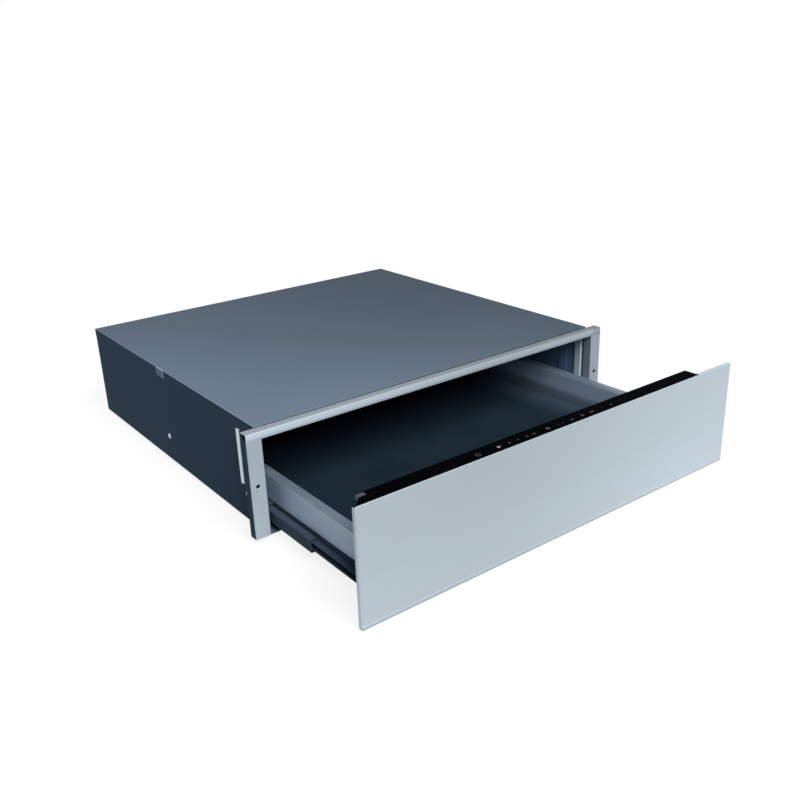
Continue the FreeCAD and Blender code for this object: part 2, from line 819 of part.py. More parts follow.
def fan_impeller():
    """Hub with pitched blades, bored for the motor's shaft."""
    start = fan_mid_y - blade_depth / 2
    end = fan_mid_y + blade_depth / 2
    hub = rod_y(hub_radius, 0, start, end, fan_z)
    pieces = [hub]
    for i in range(blades):
        blade = block(-blade_thickness / 2, blade_thickness / 2, start, end,
                      fan_z + hub_radius - blade_root, fan_z + blade_radius)
        blade.rotate(Vec(0, fan_mid_y, fan_z), Vec(0, 0, 1), blade_pitch)
        blade.rotate(Vec(0, fan_mid_y, fan_z), Vec(0, 1, 0), i * 360 / blades)
        pieces.append(blade)
    bore = rod_y(shaft_radius, 0, fan_front_y, fan_back_y, fan_z)
    return joined(pieces).cut(bore)


def fan_shaft():
    return rod_y(shaft_radius, 0, fan_mid_y - blade_depth / 2, rear_y - motor_floor - shaft_end_gap, fan_z)


def fan_motor():
    """Motor can on the rear panel, bored for the shaft."""
    can = rod_y(motor_radius, 0, motor_front_y, rear_y, fan_z)
    bore = rod_y(shaft_radius + running_clearance, 0, motor_front_y - 1, rear_y - motor_floor, fan_z)
    return can.cut(bore)


nodes["fan_frame"] = fan_frame()
nodes["fan_guard"] = fan_guard()
nodes["fan_impeller"] = fan_impeller()
nodes["fan_shaft"] = fan_shaft()
nodes["fan_motor"] = fan_motor()


# ---- Push-to-open latch --------------------------------------------------------
def latch_body():
    """Block on the rear panel, bored for the plunger and, wider, for its collar and spring."""
    body = block(latch_x - latch_half, latch_x + latch_half, latch_front_y, rear_y,
                 latch_z - latch_half, latch_z + latch_half)
    nose = rod_y(plunger_radius + running_clearance, latch_x, latch_front_y - 1, bore_end_y, latch_z)
    room = rod_y(collar_room, latch_x, latch_front_y + latch_nose, bore_end_y, latch_z)
    return without(body, [nose, room])


def latch_plunger():
    """Round-tipped plunger with a collar that keeps it in the body."""
    stem = rod_y(plunger_radius, latch_x, tip_y + plunger_radius, collar_y + collar_length, latch_z)
    tip = Part.makeSphere(plunger_radius, Vec(latch_x, tip_y + plunger_radius, latch_z))
    collar = rod_y(collar_radius, latch_x, collar_y, collar_y + collar_length, latch_z)
    return joined([stem, tip, collar])


def latch_spring():
    """Coil spring behind the collar: half turns, each tilted so that the coil climbs, swept by a round wire."""
    start = collar_y + collar_length + spring_wire + seam
    length = bore_end_y - spring_wire - seam - start
    radius = collar_radius - 2 * spring_wire
    rise = length / spring_turns / 2
    reach = math.hypot(radius, rise / 2)
    half_turns = []
    for i in range(2 * spring_turns):
        side = radius if i % 2 == 0 else -radius
        bulge = reach if i % 2 == 0 else -reach
        y = start + i * rise
        half_turns.append(Part.Arc(Vec(latch_x + side, y, latch_z),
                                   Vec(latch_x, y + rise / 2, latch_z + bulge),
                                   Vec(latch_x - side, y + rise, latch_z)).toShape())
    ring = Part.Wire(Part.makeCircle(spring_wire, Vec(latch_x + radius, start, latch_z), Vec(0, 0, 1)))
    return Part.Wire(half_turns).makePipeShell([ring], True, True)


nodes["latch_body"] = latch_body()
nodes["latch_plunger"] = latch_plunger()
nodes["latch_spring"] = latch_spring()


# ---- Mains entry ---------------------------------------------------------------
def terminal_box():
    half = terminal_width / 2
    outer = block(terminal_x - half, terminal_x + half, terminal_front_y, rear_y,
                  terminal_floor, terminal_floor + terminal_height)
    hollow = block(terminal_x - half + terminal_wall, terminal_x + half - terminal_wall,
                   terminal_front_y + terminal_wall, rear_y - terminal_wall,
                   terminal_floor + terminal_wall, terminal_floor + terminal_height + 1)
    stand = block(terminal_x - half, terminal_x + half, terminal_front_y, rear_y,
                  underside + sheet, terminal_floor)
    hole = rod_y(gland_radius + hole_clearance, terminal_x, rear_y - 2 * terminal_wall, rear_y + 1, gland_z)
    return without(joined([outer.cut(hollow), stand]), [hole])


def terminal_lid():
    half = terminal_width / 2
    top = terminal_floor + terminal_height
    return block(terminal_x - half, terminal_x + half, terminal_front_y, rear_y, top, top + terminal_wall)


def terminal_block():
    """Three-pole block on the floor of the box."""
    floor_z = terminal_floor + terminal_wall
    half = terminal_block_width / 2
    y0 = terminal_front_y + 2 * terminal_wall
    return block(terminal_x - half, terminal_x + half, y0, y0 + terminal_block_depth,
                 floor_z, gland_z - gland_radius)


def cable_gland():
    """Hollow gland through the rear panel, with its nut inside the box."""
    inside_y = rear_y - terminal_wall - nut_length
    flange_y = lip_y + gland_flange
    stem = rod_y(gland_radius, terminal_x, inside_y, flange_y, gland_z)
    flange = rod_y(gland_flange_radius, terminal_x, lip_y, flange_y, gland_z)
    nose = Part.makeCone(gland_radius, gland_nose_radius, gland_nose,
                         Vec(terminal_x, flange_y, gland_z), Vec(0, 1, 0))
    bore = rod_y(gland_bore_radius, terminal_x, inside_y - 1, flange_y + gland_nose + 1, gland_z)
    body = joined([stem, flange, nose]).cut(bore)
    corners = [Vec(terminal_x + gland_flange_radius * math.cos(math.radians(60 * i)), inside_y,
                   gland_z + gland_flange_radius * math.sin(math.radians(60 * i))) for i in range(7)]
    nut = Part.Face(Part.makePolygon(corners)).extrude(Vec(0, nut_length, 0))
    nut = nut.cut(rod_y(gland_radius, terminal_x, inside_y - 1, rear_y, gland_z))
    return group([body, nut])


nodes["terminal_box"] = terminal_box()
nodes["terminal_lid"] = terminal_lid()
nodes["terminal_block"] = terminal_block()
nodes["cable_gland"] = cable_gland()


# ---- Write one file per node ---------------------------------------------------
os.makedirs("parts", exist_ok=True)
for name, shape in nodes.items():
    shape.exportStep(os.path.join("parts", name + ".step"))
    print(name, len(shape.Solids), shape.isValid(), round(shape.Volume, 1))
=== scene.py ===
import json
from math import cos, pi, radians, sin

import bmesh
import bpy
import numpy as np
from mathutils import Matrix, Vector
from mathutils.geometry import tessellate_polygon


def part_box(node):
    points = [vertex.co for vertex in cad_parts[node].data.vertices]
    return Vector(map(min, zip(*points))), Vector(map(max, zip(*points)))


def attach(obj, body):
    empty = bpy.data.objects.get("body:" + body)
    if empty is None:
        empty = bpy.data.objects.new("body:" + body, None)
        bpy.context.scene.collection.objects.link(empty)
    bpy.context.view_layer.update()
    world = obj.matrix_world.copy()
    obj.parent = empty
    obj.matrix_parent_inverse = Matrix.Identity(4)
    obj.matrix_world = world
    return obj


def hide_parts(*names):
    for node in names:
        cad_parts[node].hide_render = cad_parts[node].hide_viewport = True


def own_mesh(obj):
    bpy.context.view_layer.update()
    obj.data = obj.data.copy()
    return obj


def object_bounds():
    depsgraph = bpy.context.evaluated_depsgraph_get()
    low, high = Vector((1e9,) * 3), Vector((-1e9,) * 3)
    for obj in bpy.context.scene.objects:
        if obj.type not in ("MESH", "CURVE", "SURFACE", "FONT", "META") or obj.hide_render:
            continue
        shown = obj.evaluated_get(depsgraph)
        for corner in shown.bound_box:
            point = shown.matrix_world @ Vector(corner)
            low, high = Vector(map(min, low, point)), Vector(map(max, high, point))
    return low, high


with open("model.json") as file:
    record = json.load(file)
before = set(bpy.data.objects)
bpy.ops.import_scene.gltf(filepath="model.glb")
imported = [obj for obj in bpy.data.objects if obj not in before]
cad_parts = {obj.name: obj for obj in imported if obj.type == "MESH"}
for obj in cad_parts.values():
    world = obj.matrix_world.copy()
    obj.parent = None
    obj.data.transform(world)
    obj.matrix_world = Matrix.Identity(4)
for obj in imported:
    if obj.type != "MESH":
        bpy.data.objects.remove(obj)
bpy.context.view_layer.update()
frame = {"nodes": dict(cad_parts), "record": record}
nodes = frame["nodes"]
record = frame["record"]

MM = 0.001


# ---- Meshes ----
# Shapes are worked out in millimetres, and add_piece turns them into metres. A shell is a pair: an array of points
# (n, 3), and a list of faces that close it.

def limits(node):
    """Lowest and highest corner of a CAD node."""
    low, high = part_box(node)
    return np.array([low, high]) / MM


def across(axis):
    """The two other axes, in X, Y, Z order."""
    return [i for i in range(3) if i != axis]


def shell(points, faces):
    """Shell whose faces are turned so that they enclose a positive volume."""
    points = np.asarray(points, float)
    volume = 0
    for face in faces:
        corners = points[list(face)] - points[0]
        volume += float(np.sum(corners[0] * np.cross(corners[1:-1], corners[2:])))
    if volume < 0:
        faces = [face[::-1] for face in faces]
    return points, faces


def add_object(name, data):
    """Object in the scene, at the origin."""
    added = bpy.data.objects.new(name, data)
    bpy.context.scene.collection.objects.link(added)
    return added


def add_piece(name, shells):
    """Mesh object made of one or more shells, smooth except over its sharp edges."""
    points, faces, offset = [], [], 0
    for some_points, some_faces in shells:
        points.append(some_points)
        faces += [tuple(index + offset for index in face) for face in some_faces]
        offset += len(some_points)
    mesh = bpy.data.meshes.new(name)
    mesh.from_pydata((np.concatenate(points) * MM).tolist(), [], faces)
    mesh.shade_smooth()
    mesh.set_sharp_from_angle(angle=radians(35))
    return add_object(name, mesh)


def quads_between(rows, columns, closed_rows=False):
    """Faces of a grid of points numbered row by row, whose last column, and row if closed, meets the first."""
    row, column = np.meshgrid(np.arange(rows if closed_rows else rows - 1), np.arange(columns), indexing="ij")
    here, above, beside = row * columns, (row + 1) % rows * columns, (column + 1) % columns
    corners = [here + column, here + beside, above + beside, above + column]
    return [tuple(face) for face in np.stack(corners, -1).reshape(-1, 4).tolist()]


def lofted(rings):
    """Shell through a stack of rings, array (rows, columns, 3), with a flat face on each end."""
    rings = np.asarray(rings, float)
    rows, columns = rings.shape[:2]
    ends = [tuple(range(columns))[::-1], tuple(range((rows - 1) * columns, rows * columns))]
    return shell(rings.reshape(-1, 3), quads_between(rows, columns) + ends)


def looped(rings):
    """Shell through rings whose last one meets the first, as round a tube or a frame."""
    rings = np.asarray(rings, float)
    return shell(rings.reshape(-1, 3), quads_between(*rings.shape[:2], closed_rows=True))


def outline(corners, steps=5, sign=1):
    """Closed polygon in a plane, with u mirrored where the sign is -1. Each corner is (u, v, radius): an arc tangent
    to both of its sides, with one more point just before and after it that keeps the sides flat."""
    u, v, radii = np.array(corners, float).T
    places = sign * u + 1j * v
    after = np.roll(places, -1) - places
    length = abs(after)
    after /= length
    before = -np.roll(after, 1)
    half = np.arccos(np.clip((before * after.conj()).real, -1, 1)) / 2
    cut = radii / np.tan(half)
    spare = 0.4 * (length - cut - np.roll(cut, -1))
    points = []
    for i, (here, radius) in enumerate(zip(places, radii)):
        if radius <= 0:
            points.append([here])
            continue
        centre = here + (before[i] + after[i]) / abs(before[i] + after[i]) * radius / sin(half[i])
        first, last = here + before[i] * cut[i] - centre, here + after[i] * cut[i] - centre
        arc = centre + first * np.exp(1j * np.linspace(0, np.angle(last / first), steps + 1))
        points.append([here + before[i] * (cut[i] + min(0.3 * radius, spare[i - 1])), *arc,
                       here + after[i] * (cut[i] + min(0.3 * radius, spare[i]))])
    points = np.concatenate(points)
    return np.stack([points.real, points.imag], 1)


def box_loop(u0, u1, v0, v1, radius=0, steps=4):
    """Rectangle with rounded corners."""
    return outline([(u0, v0, radius), (u1, v0, radius), (u1, v1, radius), (u0, v1, radius)], steps)


def around(count):
    """Angles of equally many points round a circle."""
    return np.arange(count) * 2 * pi / count


def circle_loop(u, v, radius, count=32):
    """Circle as a loop of points."""
    return np.stack([u + radius * np.cos(around(count)), v + radius * np.sin(around(count))], 1)


def doubled_area(loop):
    """Twice the area of a closed outline, below zero where it runs clockwise."""
    following = np.roll(loop, -1, 0)
    return np.sum(loop[:, 0] * following[:, 1] - following[:, 0] * loop[:, 1])


def drawn_in(loop, distance):
    """Closed outline moved into its own area: each point goes along the mitre of its two sides."""
    loop = np.asarray(loop, float)
    ahead = np.roll(loop, -1, 0) - loop
    ahead /= np.linalg.norm(ahead, axis=1)[:, None]
    right = np.stack([ahead[:, 1], -ahead[:, 0]], 1) * np.sign(doubled_area(loop))
    before = np.roll(right, 1, 0)
    return loop - distance * (right + before) / (1 + np.sum(right * before, axis=1))[:, None]


def along(axis, loop, station):
    """Points of a plane outline placed at a station along X, Y or Z."""
    points = np.empty((len(loop), 3))
    points[:, axis] = station
    points[:, across(axis)] = loop
    return points


def chamfered(axis, loop, small, start, end, edge):
    """Four rings along an axis: an outline between its drawn-in copies at both ends."""
    return [along(axis, small, start), along(axis, loop, start + edge),
            along(axis, loop, end - edge), along(axis, small, end)]


def bar(axis, loop, start, end, edge=0):
    """Straight bar: the same outline at both ends, with its end edges chamfered if asked."""
    if edge == 0:
        return lofted([along(axis, loop, start), along(axis, loop, end)])
    return lofted(chamfered(axis, loop, drawn_in(loop, edge), start, end, edge))


def hollow_bar(axis, outer, inner, start, end):
    """Straight tube of any section: the outer and the inner outline have equally many points."""
    return looped([along(axis, outer, start), along(axis, outer, end),
                   along(axis, inner, end), along(axis, inner, start)])


def pierced(axis, outer, holes, start, end, edge):
    """Flat sheet with holes. Every loop runs through the sheet as four rings (chamfer, wall, chamfer), and the two
    faces between the loops are tessellated."""
    points, faces, insides, firsts, lasts, offset = [], [], [], [], [], 0
    for number, loop in enumerate([outer, *holes]):
        loop = np.asarray(loop, float)
        inside = drawn_in(loop, edge if number == 0 else -edge)
        if (doubled_area(loop) > 0) != (number == 0):
            loop, inside = loop[::-1], inside[::-1]
        insides.append(inside)
        points += chamfered(axis, loop, inside, start, end, edge)
        faces += [tuple(i + offset for i in face) for face in quads_between(4, len(loop))]
        firsts.append(offset + np.arange(len(loop)))
        lasts.append(firsts[-1] + 3 * len(loop))
        offset += 4 * len(loop)
    flat, first, last = np.concatenate(insides), np.concatenate(firsts), np.concatenate(lasts)
    for triangle in tessellate_polygon([[Vector((u, v, 0)) for u, v in inside * MM] for inside in insides]):
        corners = list(triangle[::-1] if doubled_area(flat[list(triangle)]) < 0 else triangle)
        faces += [tuple(first[corners[::-1]].tolist()), tuple(last[corners].tolist())]
    return shell(np.concatenate(points), faces)


def block(low, high, radius=0, edge=0, axis=2):
    """Block between two corners, with rounded corners about one axis and chamfered ends along it."""
    u, v = across(axis)
    return bar(axis, box_loop(low[u], high[u], low[v], high[v], radius), low[axis], high[axis], edge)


def side_block(sign, x, y, z, edge=0, axis=2):
    """Block on one side, from its two distances from the middle and its ranges in Y and Z."""
    low, high = zip(sorted((sign * x[0], sign * x[1])), y, z)
    return block(low, high, 0, edge, axis)


def stacked(axis, low, high, levels):
    """Shell through rounded rectangles inside a box. Each level is (inset, station, corner radius)."""
    u, v = across(axis)
    return lofted([along(axis, box_loop(low[u] + inset, high[u] - inset, low[v] + inset, high[v] - inset, radius), at)
                   for inset, at, radius in levels])


def crowned_block(low, high, radius, crown):
    """Block with rounded corners in plan and an elliptic crown: the outline shrinks by 0.8 radius (1 - cos t) over
    the last height crown sin t."""
    turn = np.linspace(0, pi / 2, 5)
    top = [(0.8 * radius * (1 - cos(t)), high[2] - crown * (1 - sin(t)), radius) for t in turn]
    return stacked(2, low, high, [(0, low[2], radius)] + top)


def tray(axis, low, high, open_high, bend):
    """Thin-walled tray, open at one end along an axis: the section goes up the inside, over the rim, and down the
    outside, with a bend of inset r (1 - sin t) at height r (1 - cos t) above the floor."""
    wall, radius = 1, 1.6    # of the sheet, and of the corners in plan
    strip, lip = 0.3, 0.15     # narrow faces that keep the flats beside a bend and the rim flat
    floor, up = (low[axis], 1) if open_high else (high[axis], -1)
    height = high[axis] - low[axis]
    inner = max(bend - wall, 0.1)
    turn = np.linspace(0, pi / 2, 5)
    section = [(wall + inner + strip, wall),
               *[(wall + inner * (1 - sin(t)), wall + inner * (1 - cos(t))) for t in turn],
               (wall, wall + inner + strip), (wall, height - lip), (0.8 * wall, height),
               (0.2 * wall, height), (0, height - lip), (0, bend + strip),
               *[(bend * (1 - sin(t)), bend * (1 - cos(t))) for t in turn[::-1]],
               (bend + strip, 0)]
    return stacked(axis, low, high, [(inset, floor + up * level, max(radius - inset, 0.2))
                                     for inset, level in section])


def spun(axis, centre, profile, columns=48):
    """Rings of a turned shape: each point (height, radius) of a profile goes round a circle about an axis."""
    return centre + np.array([along(axis, circle_loop(0, 0, max(radius, 0.001), columns), height)
                              for height, radius in profile])


def bevelled(piece, width):
    """Rounds the sharp edges of a piece."""
    bevel = piece.modifiers.new("edges", "BEVEL")
    bevel.width = width * MM
    bevel.segments = 2
    bevel.limit_method = "ANGLE"
    bevel.angle_limit = radians(40)
    bevel.use_clamp_overlap = True
    return piece


def softened(node, width):
    """Merged copy of a CAD part, with flat faces and its sharp edges rounded by a bevel."""
    mesh = bpy.data.meshes.new(node + "_soft")
    work = bmesh.new()
    work.from_mesh(nodes[node].data)
    bmesh.ops.remove_doubles(work, verts=work.verts, dist=1e-6)
    work.to_mesh(mesh)
    work.free()
    mesh.shade_flat()
    return bevelled(add_object(node + "_soft", mesh), width)


def mount_piece(piece, body, slot, material, *replaced):
    """Gives a piece its finish and the CAD body that it moves with."""
    piece.data.materials.clear()
    piece.data.materials.append(material)
    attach(piece, body)
    if replaced:
        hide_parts(*replaced)
    return piece


# ---- Material building blocks ----
# Patterns read Object coordinates, in metres. A value is a number or a colour, or the socket that gives it.

def colour(screen, share=1):
    """Linear colour from red, green and blue on a screen, 0 to 255, made darker or lighter by a share."""
    screen = np.array(screen) / 255
    linear = np.where(screen <= 0.04045, screen / 12.92, ((screen + 0.055) / 1.055) ** 2.4)
    return (*(share * linear).tolist(), 1)


def feed(node, inputs):
    """Sets the inputs of a node to their values, or links them."""
    for name, value in inputs.items():
        if isinstance(value, bpy.types.NodeSocket):
            node.id_data.links.new(value, node.inputs[name])
        else:
            node.inputs[name].default_value = value


def add_node(tree, kind, output, inputs, **settings):
    """Adds a shader node with its settings and inputs; returns one of its outputs."""
    node = tree.nodes.new("ShaderNode" + kind)
    for name, value in settings.items():
        setattr(node, name, value)
    feed(node, inputs)
    return node.outputs[output]


def new_finish(name, roughness, metallic=0, specular=0.5, index=1.5):
    """Material with a Principled shader, and its tree of nodes."""
    material = bpy.data.materials.new(name)
    material.use_nodes = True
    tree = material.node_tree
    feed(tree.nodes["Principled BSDF"], {"Roughness": roughness, "Metallic": metallic,
                                         "Specular IOR Level": specular, "IOR": index})
    return material, tree


def surfaced(material, tone, gloss=None, relief=None, depth=0, strength=1):
    """Gives a material its colour, its roughness where that varies, and its relief of a depth in metres."""
    inputs = {"Base Color": tone}
    if gloss is not None:
        inputs["Roughness"] = gloss
    if relief is not None:
        bump = {"Height": relief, "Distance": depth, "Strength": strength}
        inputs["Normal"] = add_node(material.node_tree, "Bump", "Normal", bump)
    feed(material.node_tree.nodes["Principled BSDF"], inputs)
    return material


def place_on(tree):
    """Object coordinates."""
    return add_node(tree, "TexCoord", "Object", {})


def spread(tree, scale):
    """Object coordinates stretched by a scale, one number or one for each axis."""
    inputs = {"Vector": place_on(tree), "Scale": np.broadcast_to(scale, 3).tolist()}
    return add_node(tree, "Mapping", "Vector", inputs)


def noise(tree, scale, detail=3, rough=0.55):
    """Cloudy pattern, with scale in cycles per metre."""
    inputs = {"Vector": spread(tree, scale), "Scale": 1, "Detail": detail, "Roughness": rough}
    return add_node(tree, "TexNoise", "Fac", inputs)


def cells(tree, scale, output):
    """Cell pattern: the distance to the nearest of many scattered points, or a random colour for each cell."""
    return add_node(tree, "TexVoronoi", output, {"Vector": spread(tree, scale), "Scale": 1})


def rescaled(value, source=(0.3, 0.7), target=(0, 1), **settings):
    """Value mapped from one range to another and held inside it. Most of a cloudy pattern lies from 0.3 to 0.7."""
    inputs = {"Value": value, "From Min": source[0], "From Max": source[1], "To Min": target[0], "To Max": target[1]}
    return add_node(value.id_data, "MapRange", "Result", inputs, **settings)


def calculated(operation, first, second):
    """Sum, product and the like of a socket and another value."""
    return add_node(first.id_data, "Math", "Value", {0: first, 1: second}, operation=operation)


def weighted(first, second, share):
    """A share of one value and the rest of another."""
    return calculated("ADD", calculated("MULTIPLY", first, share), calculated("MULTIPLY", second, 1 - share))


def blended(amount, first, second):
    """Colour between two colours."""
    first_colour, second_colour, mixed_colour = 6, 7, 2    # the colour sockets of the Mix node, by number
    inputs = {"Factor": amount, first_colour: first, second_colour: second}
    return add_node(amount.id_data, "Mix", mixed_colour, inputs, data_type="RGBA")


def toned(tone, painted_light_shares):
    """Colour multiplied by one share after another, which paints light and shade onto a surface. Each change is
    (direction, offset, start, end, first, last): the share, one number or one for each of red, green and blue, goes
    from first to last as the distance along the direction from the offset goes from start to end."""
    for direction, offset, start, end, *shares in painted_light_shares:
        tree = tone.id_data
        place = add_node(tree, "VectorMath", "Value", {0: place_on(tree), 1: direction}, operation="DOT_PRODUCT")
        distance = calculated("ABSOLUTE", calculated("SUBTRACT", place, offset), 0)
        gone = rescaled(distance, (start, end), interpolation_type="SMOOTHSTEP")
        share = blended(gone, *[(*np.broadcast_to(share, 3).tolist(), 1) for share in shares])
        tone = add_node(tree, "VectorMath", "Vector", {0: tone, 1: share}, operation="MULTIPLY")
    return tone


# ---- Finishes ----
def powder_coat(name, tone, roughness=0.5, specular=0.5, index=1.5, painted_light_shares=()):
    """Powder coat: fine orange peel, faint broad clouds and tiny darker specks."""
    material, tree = new_finish(name, roughness, specular=specular, index=index)
    clouds = rescaled(noise(tree, 4, 2))
    specks = rescaled(noise(tree, 1400, 1), (0.62, 0.75), (0, 0.35))
    peel = noise(tree, 700, 2)
    base = blended(specks, blended(clouds, colour(tone), colour(tone, 0.92)), colour(tone, 0.6))
    gloss = rescaled(peel, target=(roughness - 0.06, roughness + 0.06))
    return surfaced(material, toned(base, painted_light_shares), gloss, peel, 0.00005, 0.7)


def brushed(name, tone, direction, roughness=0.34, metallic=1, contrast=0.08, painted_light_shares=()):
    """Brushed metal: long fine scratches along one axis, in colour, gloss and relief."""
    material, tree = new_finish(name, roughness, metallic)
    fine, broad = np.full(3, 2600.0), np.full(3, 420.0)
    fine[direction], broad[direction] = 9, 0.8
    scratches = noise(tree, fine, 3, 0.7)
    mixed = weighted(scratches, noise(tree, broad, 3, 0.6), 0.75)
    base = blended(rescaled(mixed), colour(tone, 1 - contrast), colour(tone))
    gloss = rescaled(mixed, target=(roughness + 0.05, roughness - 0.04))
    return surfaced(material, toned(base, painted_light_shares), gloss, scratches, 0.00001, 0.5)


def zinc(name, tone, roughness=0.42):
    """Galvanised sheet: soft-edged crystals of slightly different shade and gloss."""
    material, tree = new_finish(name, roughness, metallic=1)
    crystals = add_node(tree, "SeparateColor", "Red", {"Color": cells(tree, 90, "Color")})
    grain = noise(tree, 900)
    mixed = weighted(crystals, grain, 0.6)
    gloss = rescaled(mixed, (0.1, 0.9), (roughness - 0.08, roughness + 0.1))
    return surfaced(material, blended(mixed, colour(tone, 0.72), colour(tone)), gloss, grain, 0.00003, 0.5)


def plastic(name, tone, roughness=0.5, specular=0.4):
    """Moulded plastic: spark-eroded grain and a faint change of tone."""
    material, tree = new_finish(name, roughness, specular=specular)
    grain = noise(tree, 1500, 2)
    flow = rescaled(noise(tree, 25, 2))
    gloss = rescaled(grain, target=(roughness - 0.05, roughness + 0.08))
    return surfaced(material, blended(flow, colour(tone), colour(tone, 0.86)), gloss, grain, 0.00005, 0.7)


def rubber(name, tone, pitch, specular=0.15, painted_light_shares=()):
    """Matt rubber with small domes and a dusty bloom."""
    roughness = 0.7
    material, tree = new_finish(name, roughness, specular=specular)
    bloom = rescaled(noise(tree, 18, 4), (0.35, 0.7))
    dusty = blended(bloom, colour(tone), colour(tone, 1.25))
    gloss = rescaled(bloom, (0, 1), (roughness - 0.06, roughness + 0.06))
    domes = rescaled(cells(tree, pitch, "Distance"), (0, 0.6), (1, 0))
    return surfaced(material, toned(dusty, painted_light_shares), gloss, domes, 0.0002, 0.5)


def black_glass():
    """Polished black glass with a faint waviness and faint smears."""
    material, tree = new_finish("black_glass", 0.08, specular=0.001)
    waves = blended(noise(tree, 30, 1), colour((1, 2, 5)), colour((4, 5, 9)))
    return surfaced(material, waves, rescaled(noise(tree, (60, 120, 60), 4), (0.4, 0.8), (0.06, 0.16)))


def pressed_fibre():
    """Mineral fibre board: matted strands."""
    material, tree = new_finish("pressed_fibre", 0.95, specular=0.1)
    strands = [noise(tree, scale, 5, 0.7) for scale in ((160, 900, 900), (900, 160, 900))]
    mat = calculated("MAXIMUM", *strands)
    return surfaced(material, blended(mat, colour((150, 140, 110)), colour((226, 220, 196))), None, mat, 0.0006)


def heating_silicone():
    """Red silicone sheet with the heating wire showing as parallel ridges."""
    material, tree = new_finish("heating_silicone", 0.6, specular=0.3)
    ridges = add_node(tree, "TexWave", "Fac", {"Vector": place_on(tree), "Scale": 20}, bands_direction="X")
    return surfaced(material, blended(ridges, colour((150, 58, 42)), colour((176, 76, 54))), None, ridges, 0.0004)


def circuit_green():
    """Solder-masked board with a faint pattern of tracks."""
    material, tree = new_finish("circuit_green", 0.3)
    tracks = {"Vector": place_on(tree), "Scale": 90, "Mortar Size": 0.06, "Mortar": colour((40, 118, 74)),
              "Color1": colour((18, 74, 44)), "Color2": colour((24, 86, 52))}
    return surfaced(material, add_node(tree, "TexBrick", "Color", tracks))


def print_ink(name, tone):
    """Pale print of the touch marks, a little uneven."""
    material, tree = new_finish(name, 0.45, specular=0.1)
    return surfaced(material, blended(noise(tree, 900, 2), colour(tone, 0.8), colour(tone)))


left_right, upwards = (1, 0, 0), (0, 0, 1)
side_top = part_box("drawer_side_left")[1][2]
side_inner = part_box("drawer_side_right")[0][0]
front_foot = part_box("front_skin")[0][2]
finishes = {
    "housing_paint": powder_coat("slate_powder_coat", (92, 110, 126), index=1.06),
    # Painted light and shade on the front sheet: a broad sheen, darkest a little left of the middle and brightest at
    # the right end; a little more light towards the foot; painted shade along the lowest 5 mm.
    "stainless": brushed("satin_stainless", (186, 198, 206), 0, 0.38, 0.4, painted_light_shares=[
        (left_right, -0.12, 0, 0.40, 0.92, 1.10),
        (upwards, front_foot, 0.004, 0.14, 1.05, 0.94),
        (upwards, front_foot, 0.001, 0.0055, 0.75, 1)]),
    "galvanised": zinc("galvanised_sheet", (176, 182, 186)),
    "spring_steel": brushed("spring_strip", (200, 208, 214), 2, 0.3, 0.8),
    # Painted light: the post's tone is lifted to near white and made non-metal, to stand for the light it catches.
    "post_zinc": brushed("zinc_post", (236, 252, 255), 2, 0.4, 0),
    "slide_steel": powder_coat("dark_slide_coat", (66, 79, 96), index=1.1),
    "cage_steel": zinc("cage_steel", (160, 164, 168), 0.3),
    # Painted light and shade on the side profiles: the rounded tops darkened to 0.42, the inner faces painted 1.6
    # times lighter, and painted shade growing towards the bottom of the inner faces.
    "drawer_side_paint": brushed("grey_side_sheet", (168, 188, 208), 1, 0.5, 0.3, 0.05, painted_light_shares=[
        (upwards, side_top - 1, 0.9978, 0.9994, 1, 0.42),
        (left_right, 0, side_inner + 0.0001, side_inner + 0.0006, 1.6, 1),
        *[((sign, 0, 0.5), 0, 0.2285, 0.2350, 0.42, 1) for sign in (1, -1)]]),
    "drawer_paint": powder_coat("dark_pan_coat", (66, 79, 96), index=1.1),
    "warm_plate": brushed("warm_plate", (110, 114, 120), 1, 0.4),
    # Painted light: the mat is painted up to four times lighter over its right end.
    "mat_rubber": rubber("silicone_mat", (24, 38, 48), 260, 0.06, painted_light_shares=[
        (left_right, -0.25, 0.430, 0.496, 1, (4, 2.8, 2.6))]),
    "heater_silicone": heating_silicone(),
    "mineral_wool": pressed_fibre(),
    "sensor_metal": brushed("sensor_metal", (190, 192, 194), 2, 0.3),
    "zinc_screw": zinc("zinc_screw", (200, 206, 212), 0.3),
    "black_glass": black_glass(),
    "cap_plastic": plastic("grey_cap", (66, 74, 87), specular=0.2),
    "box_plastic": plastic("black_moulding", (38, 41, 45)),
    "circuit_board": circuit_green(),
    "touch_foam": rubber("touch_foam", (60, 60, 62), 900),
    "guard_wire": zinc("guard_wire", (200, 204, 208), 0.22),
    "motor_metal": powder_coat("motor_can", (112, 116, 122), 0.4, 0.4),
    "shaft_steel": brushed("ground_shaft", (200, 202, 206), 1, 0.22),
    "latch_plastic": plastic("latch_moulding", (206, 206, 202), 0.42),
    "latch_spring_steel": brushed("spring_wire", (190, 194, 198), 1, 0.25),
    "terminal_plastic": plastic("terminal_moulding", (196, 196, 190)),
    "gland_plastic": plastic("gland_moulding", (28, 29, 31), 0.55),
    "rubber": rubber("black_rubber", (30, 31, 33), 700),
}
# Painted light and shade on the cover: lighter towards its front-left corner, darker towards its back-right, and the
# side tabs painted 1.9 times lighter.
cover_paint = powder_coat("slate_cover_coat", (99, 113, 127), index=1.04, painted_light_shares=[
    ((0.94, 0.66, 0), -1, 0.795, 1.572, 1.34, 0.74),
    ((0.85, 0.76, 0), -1, 0.739, 1.199, 1, 0.78),
    (left_right, 0, 0.2766, 0.2771, 1, 1.9)])
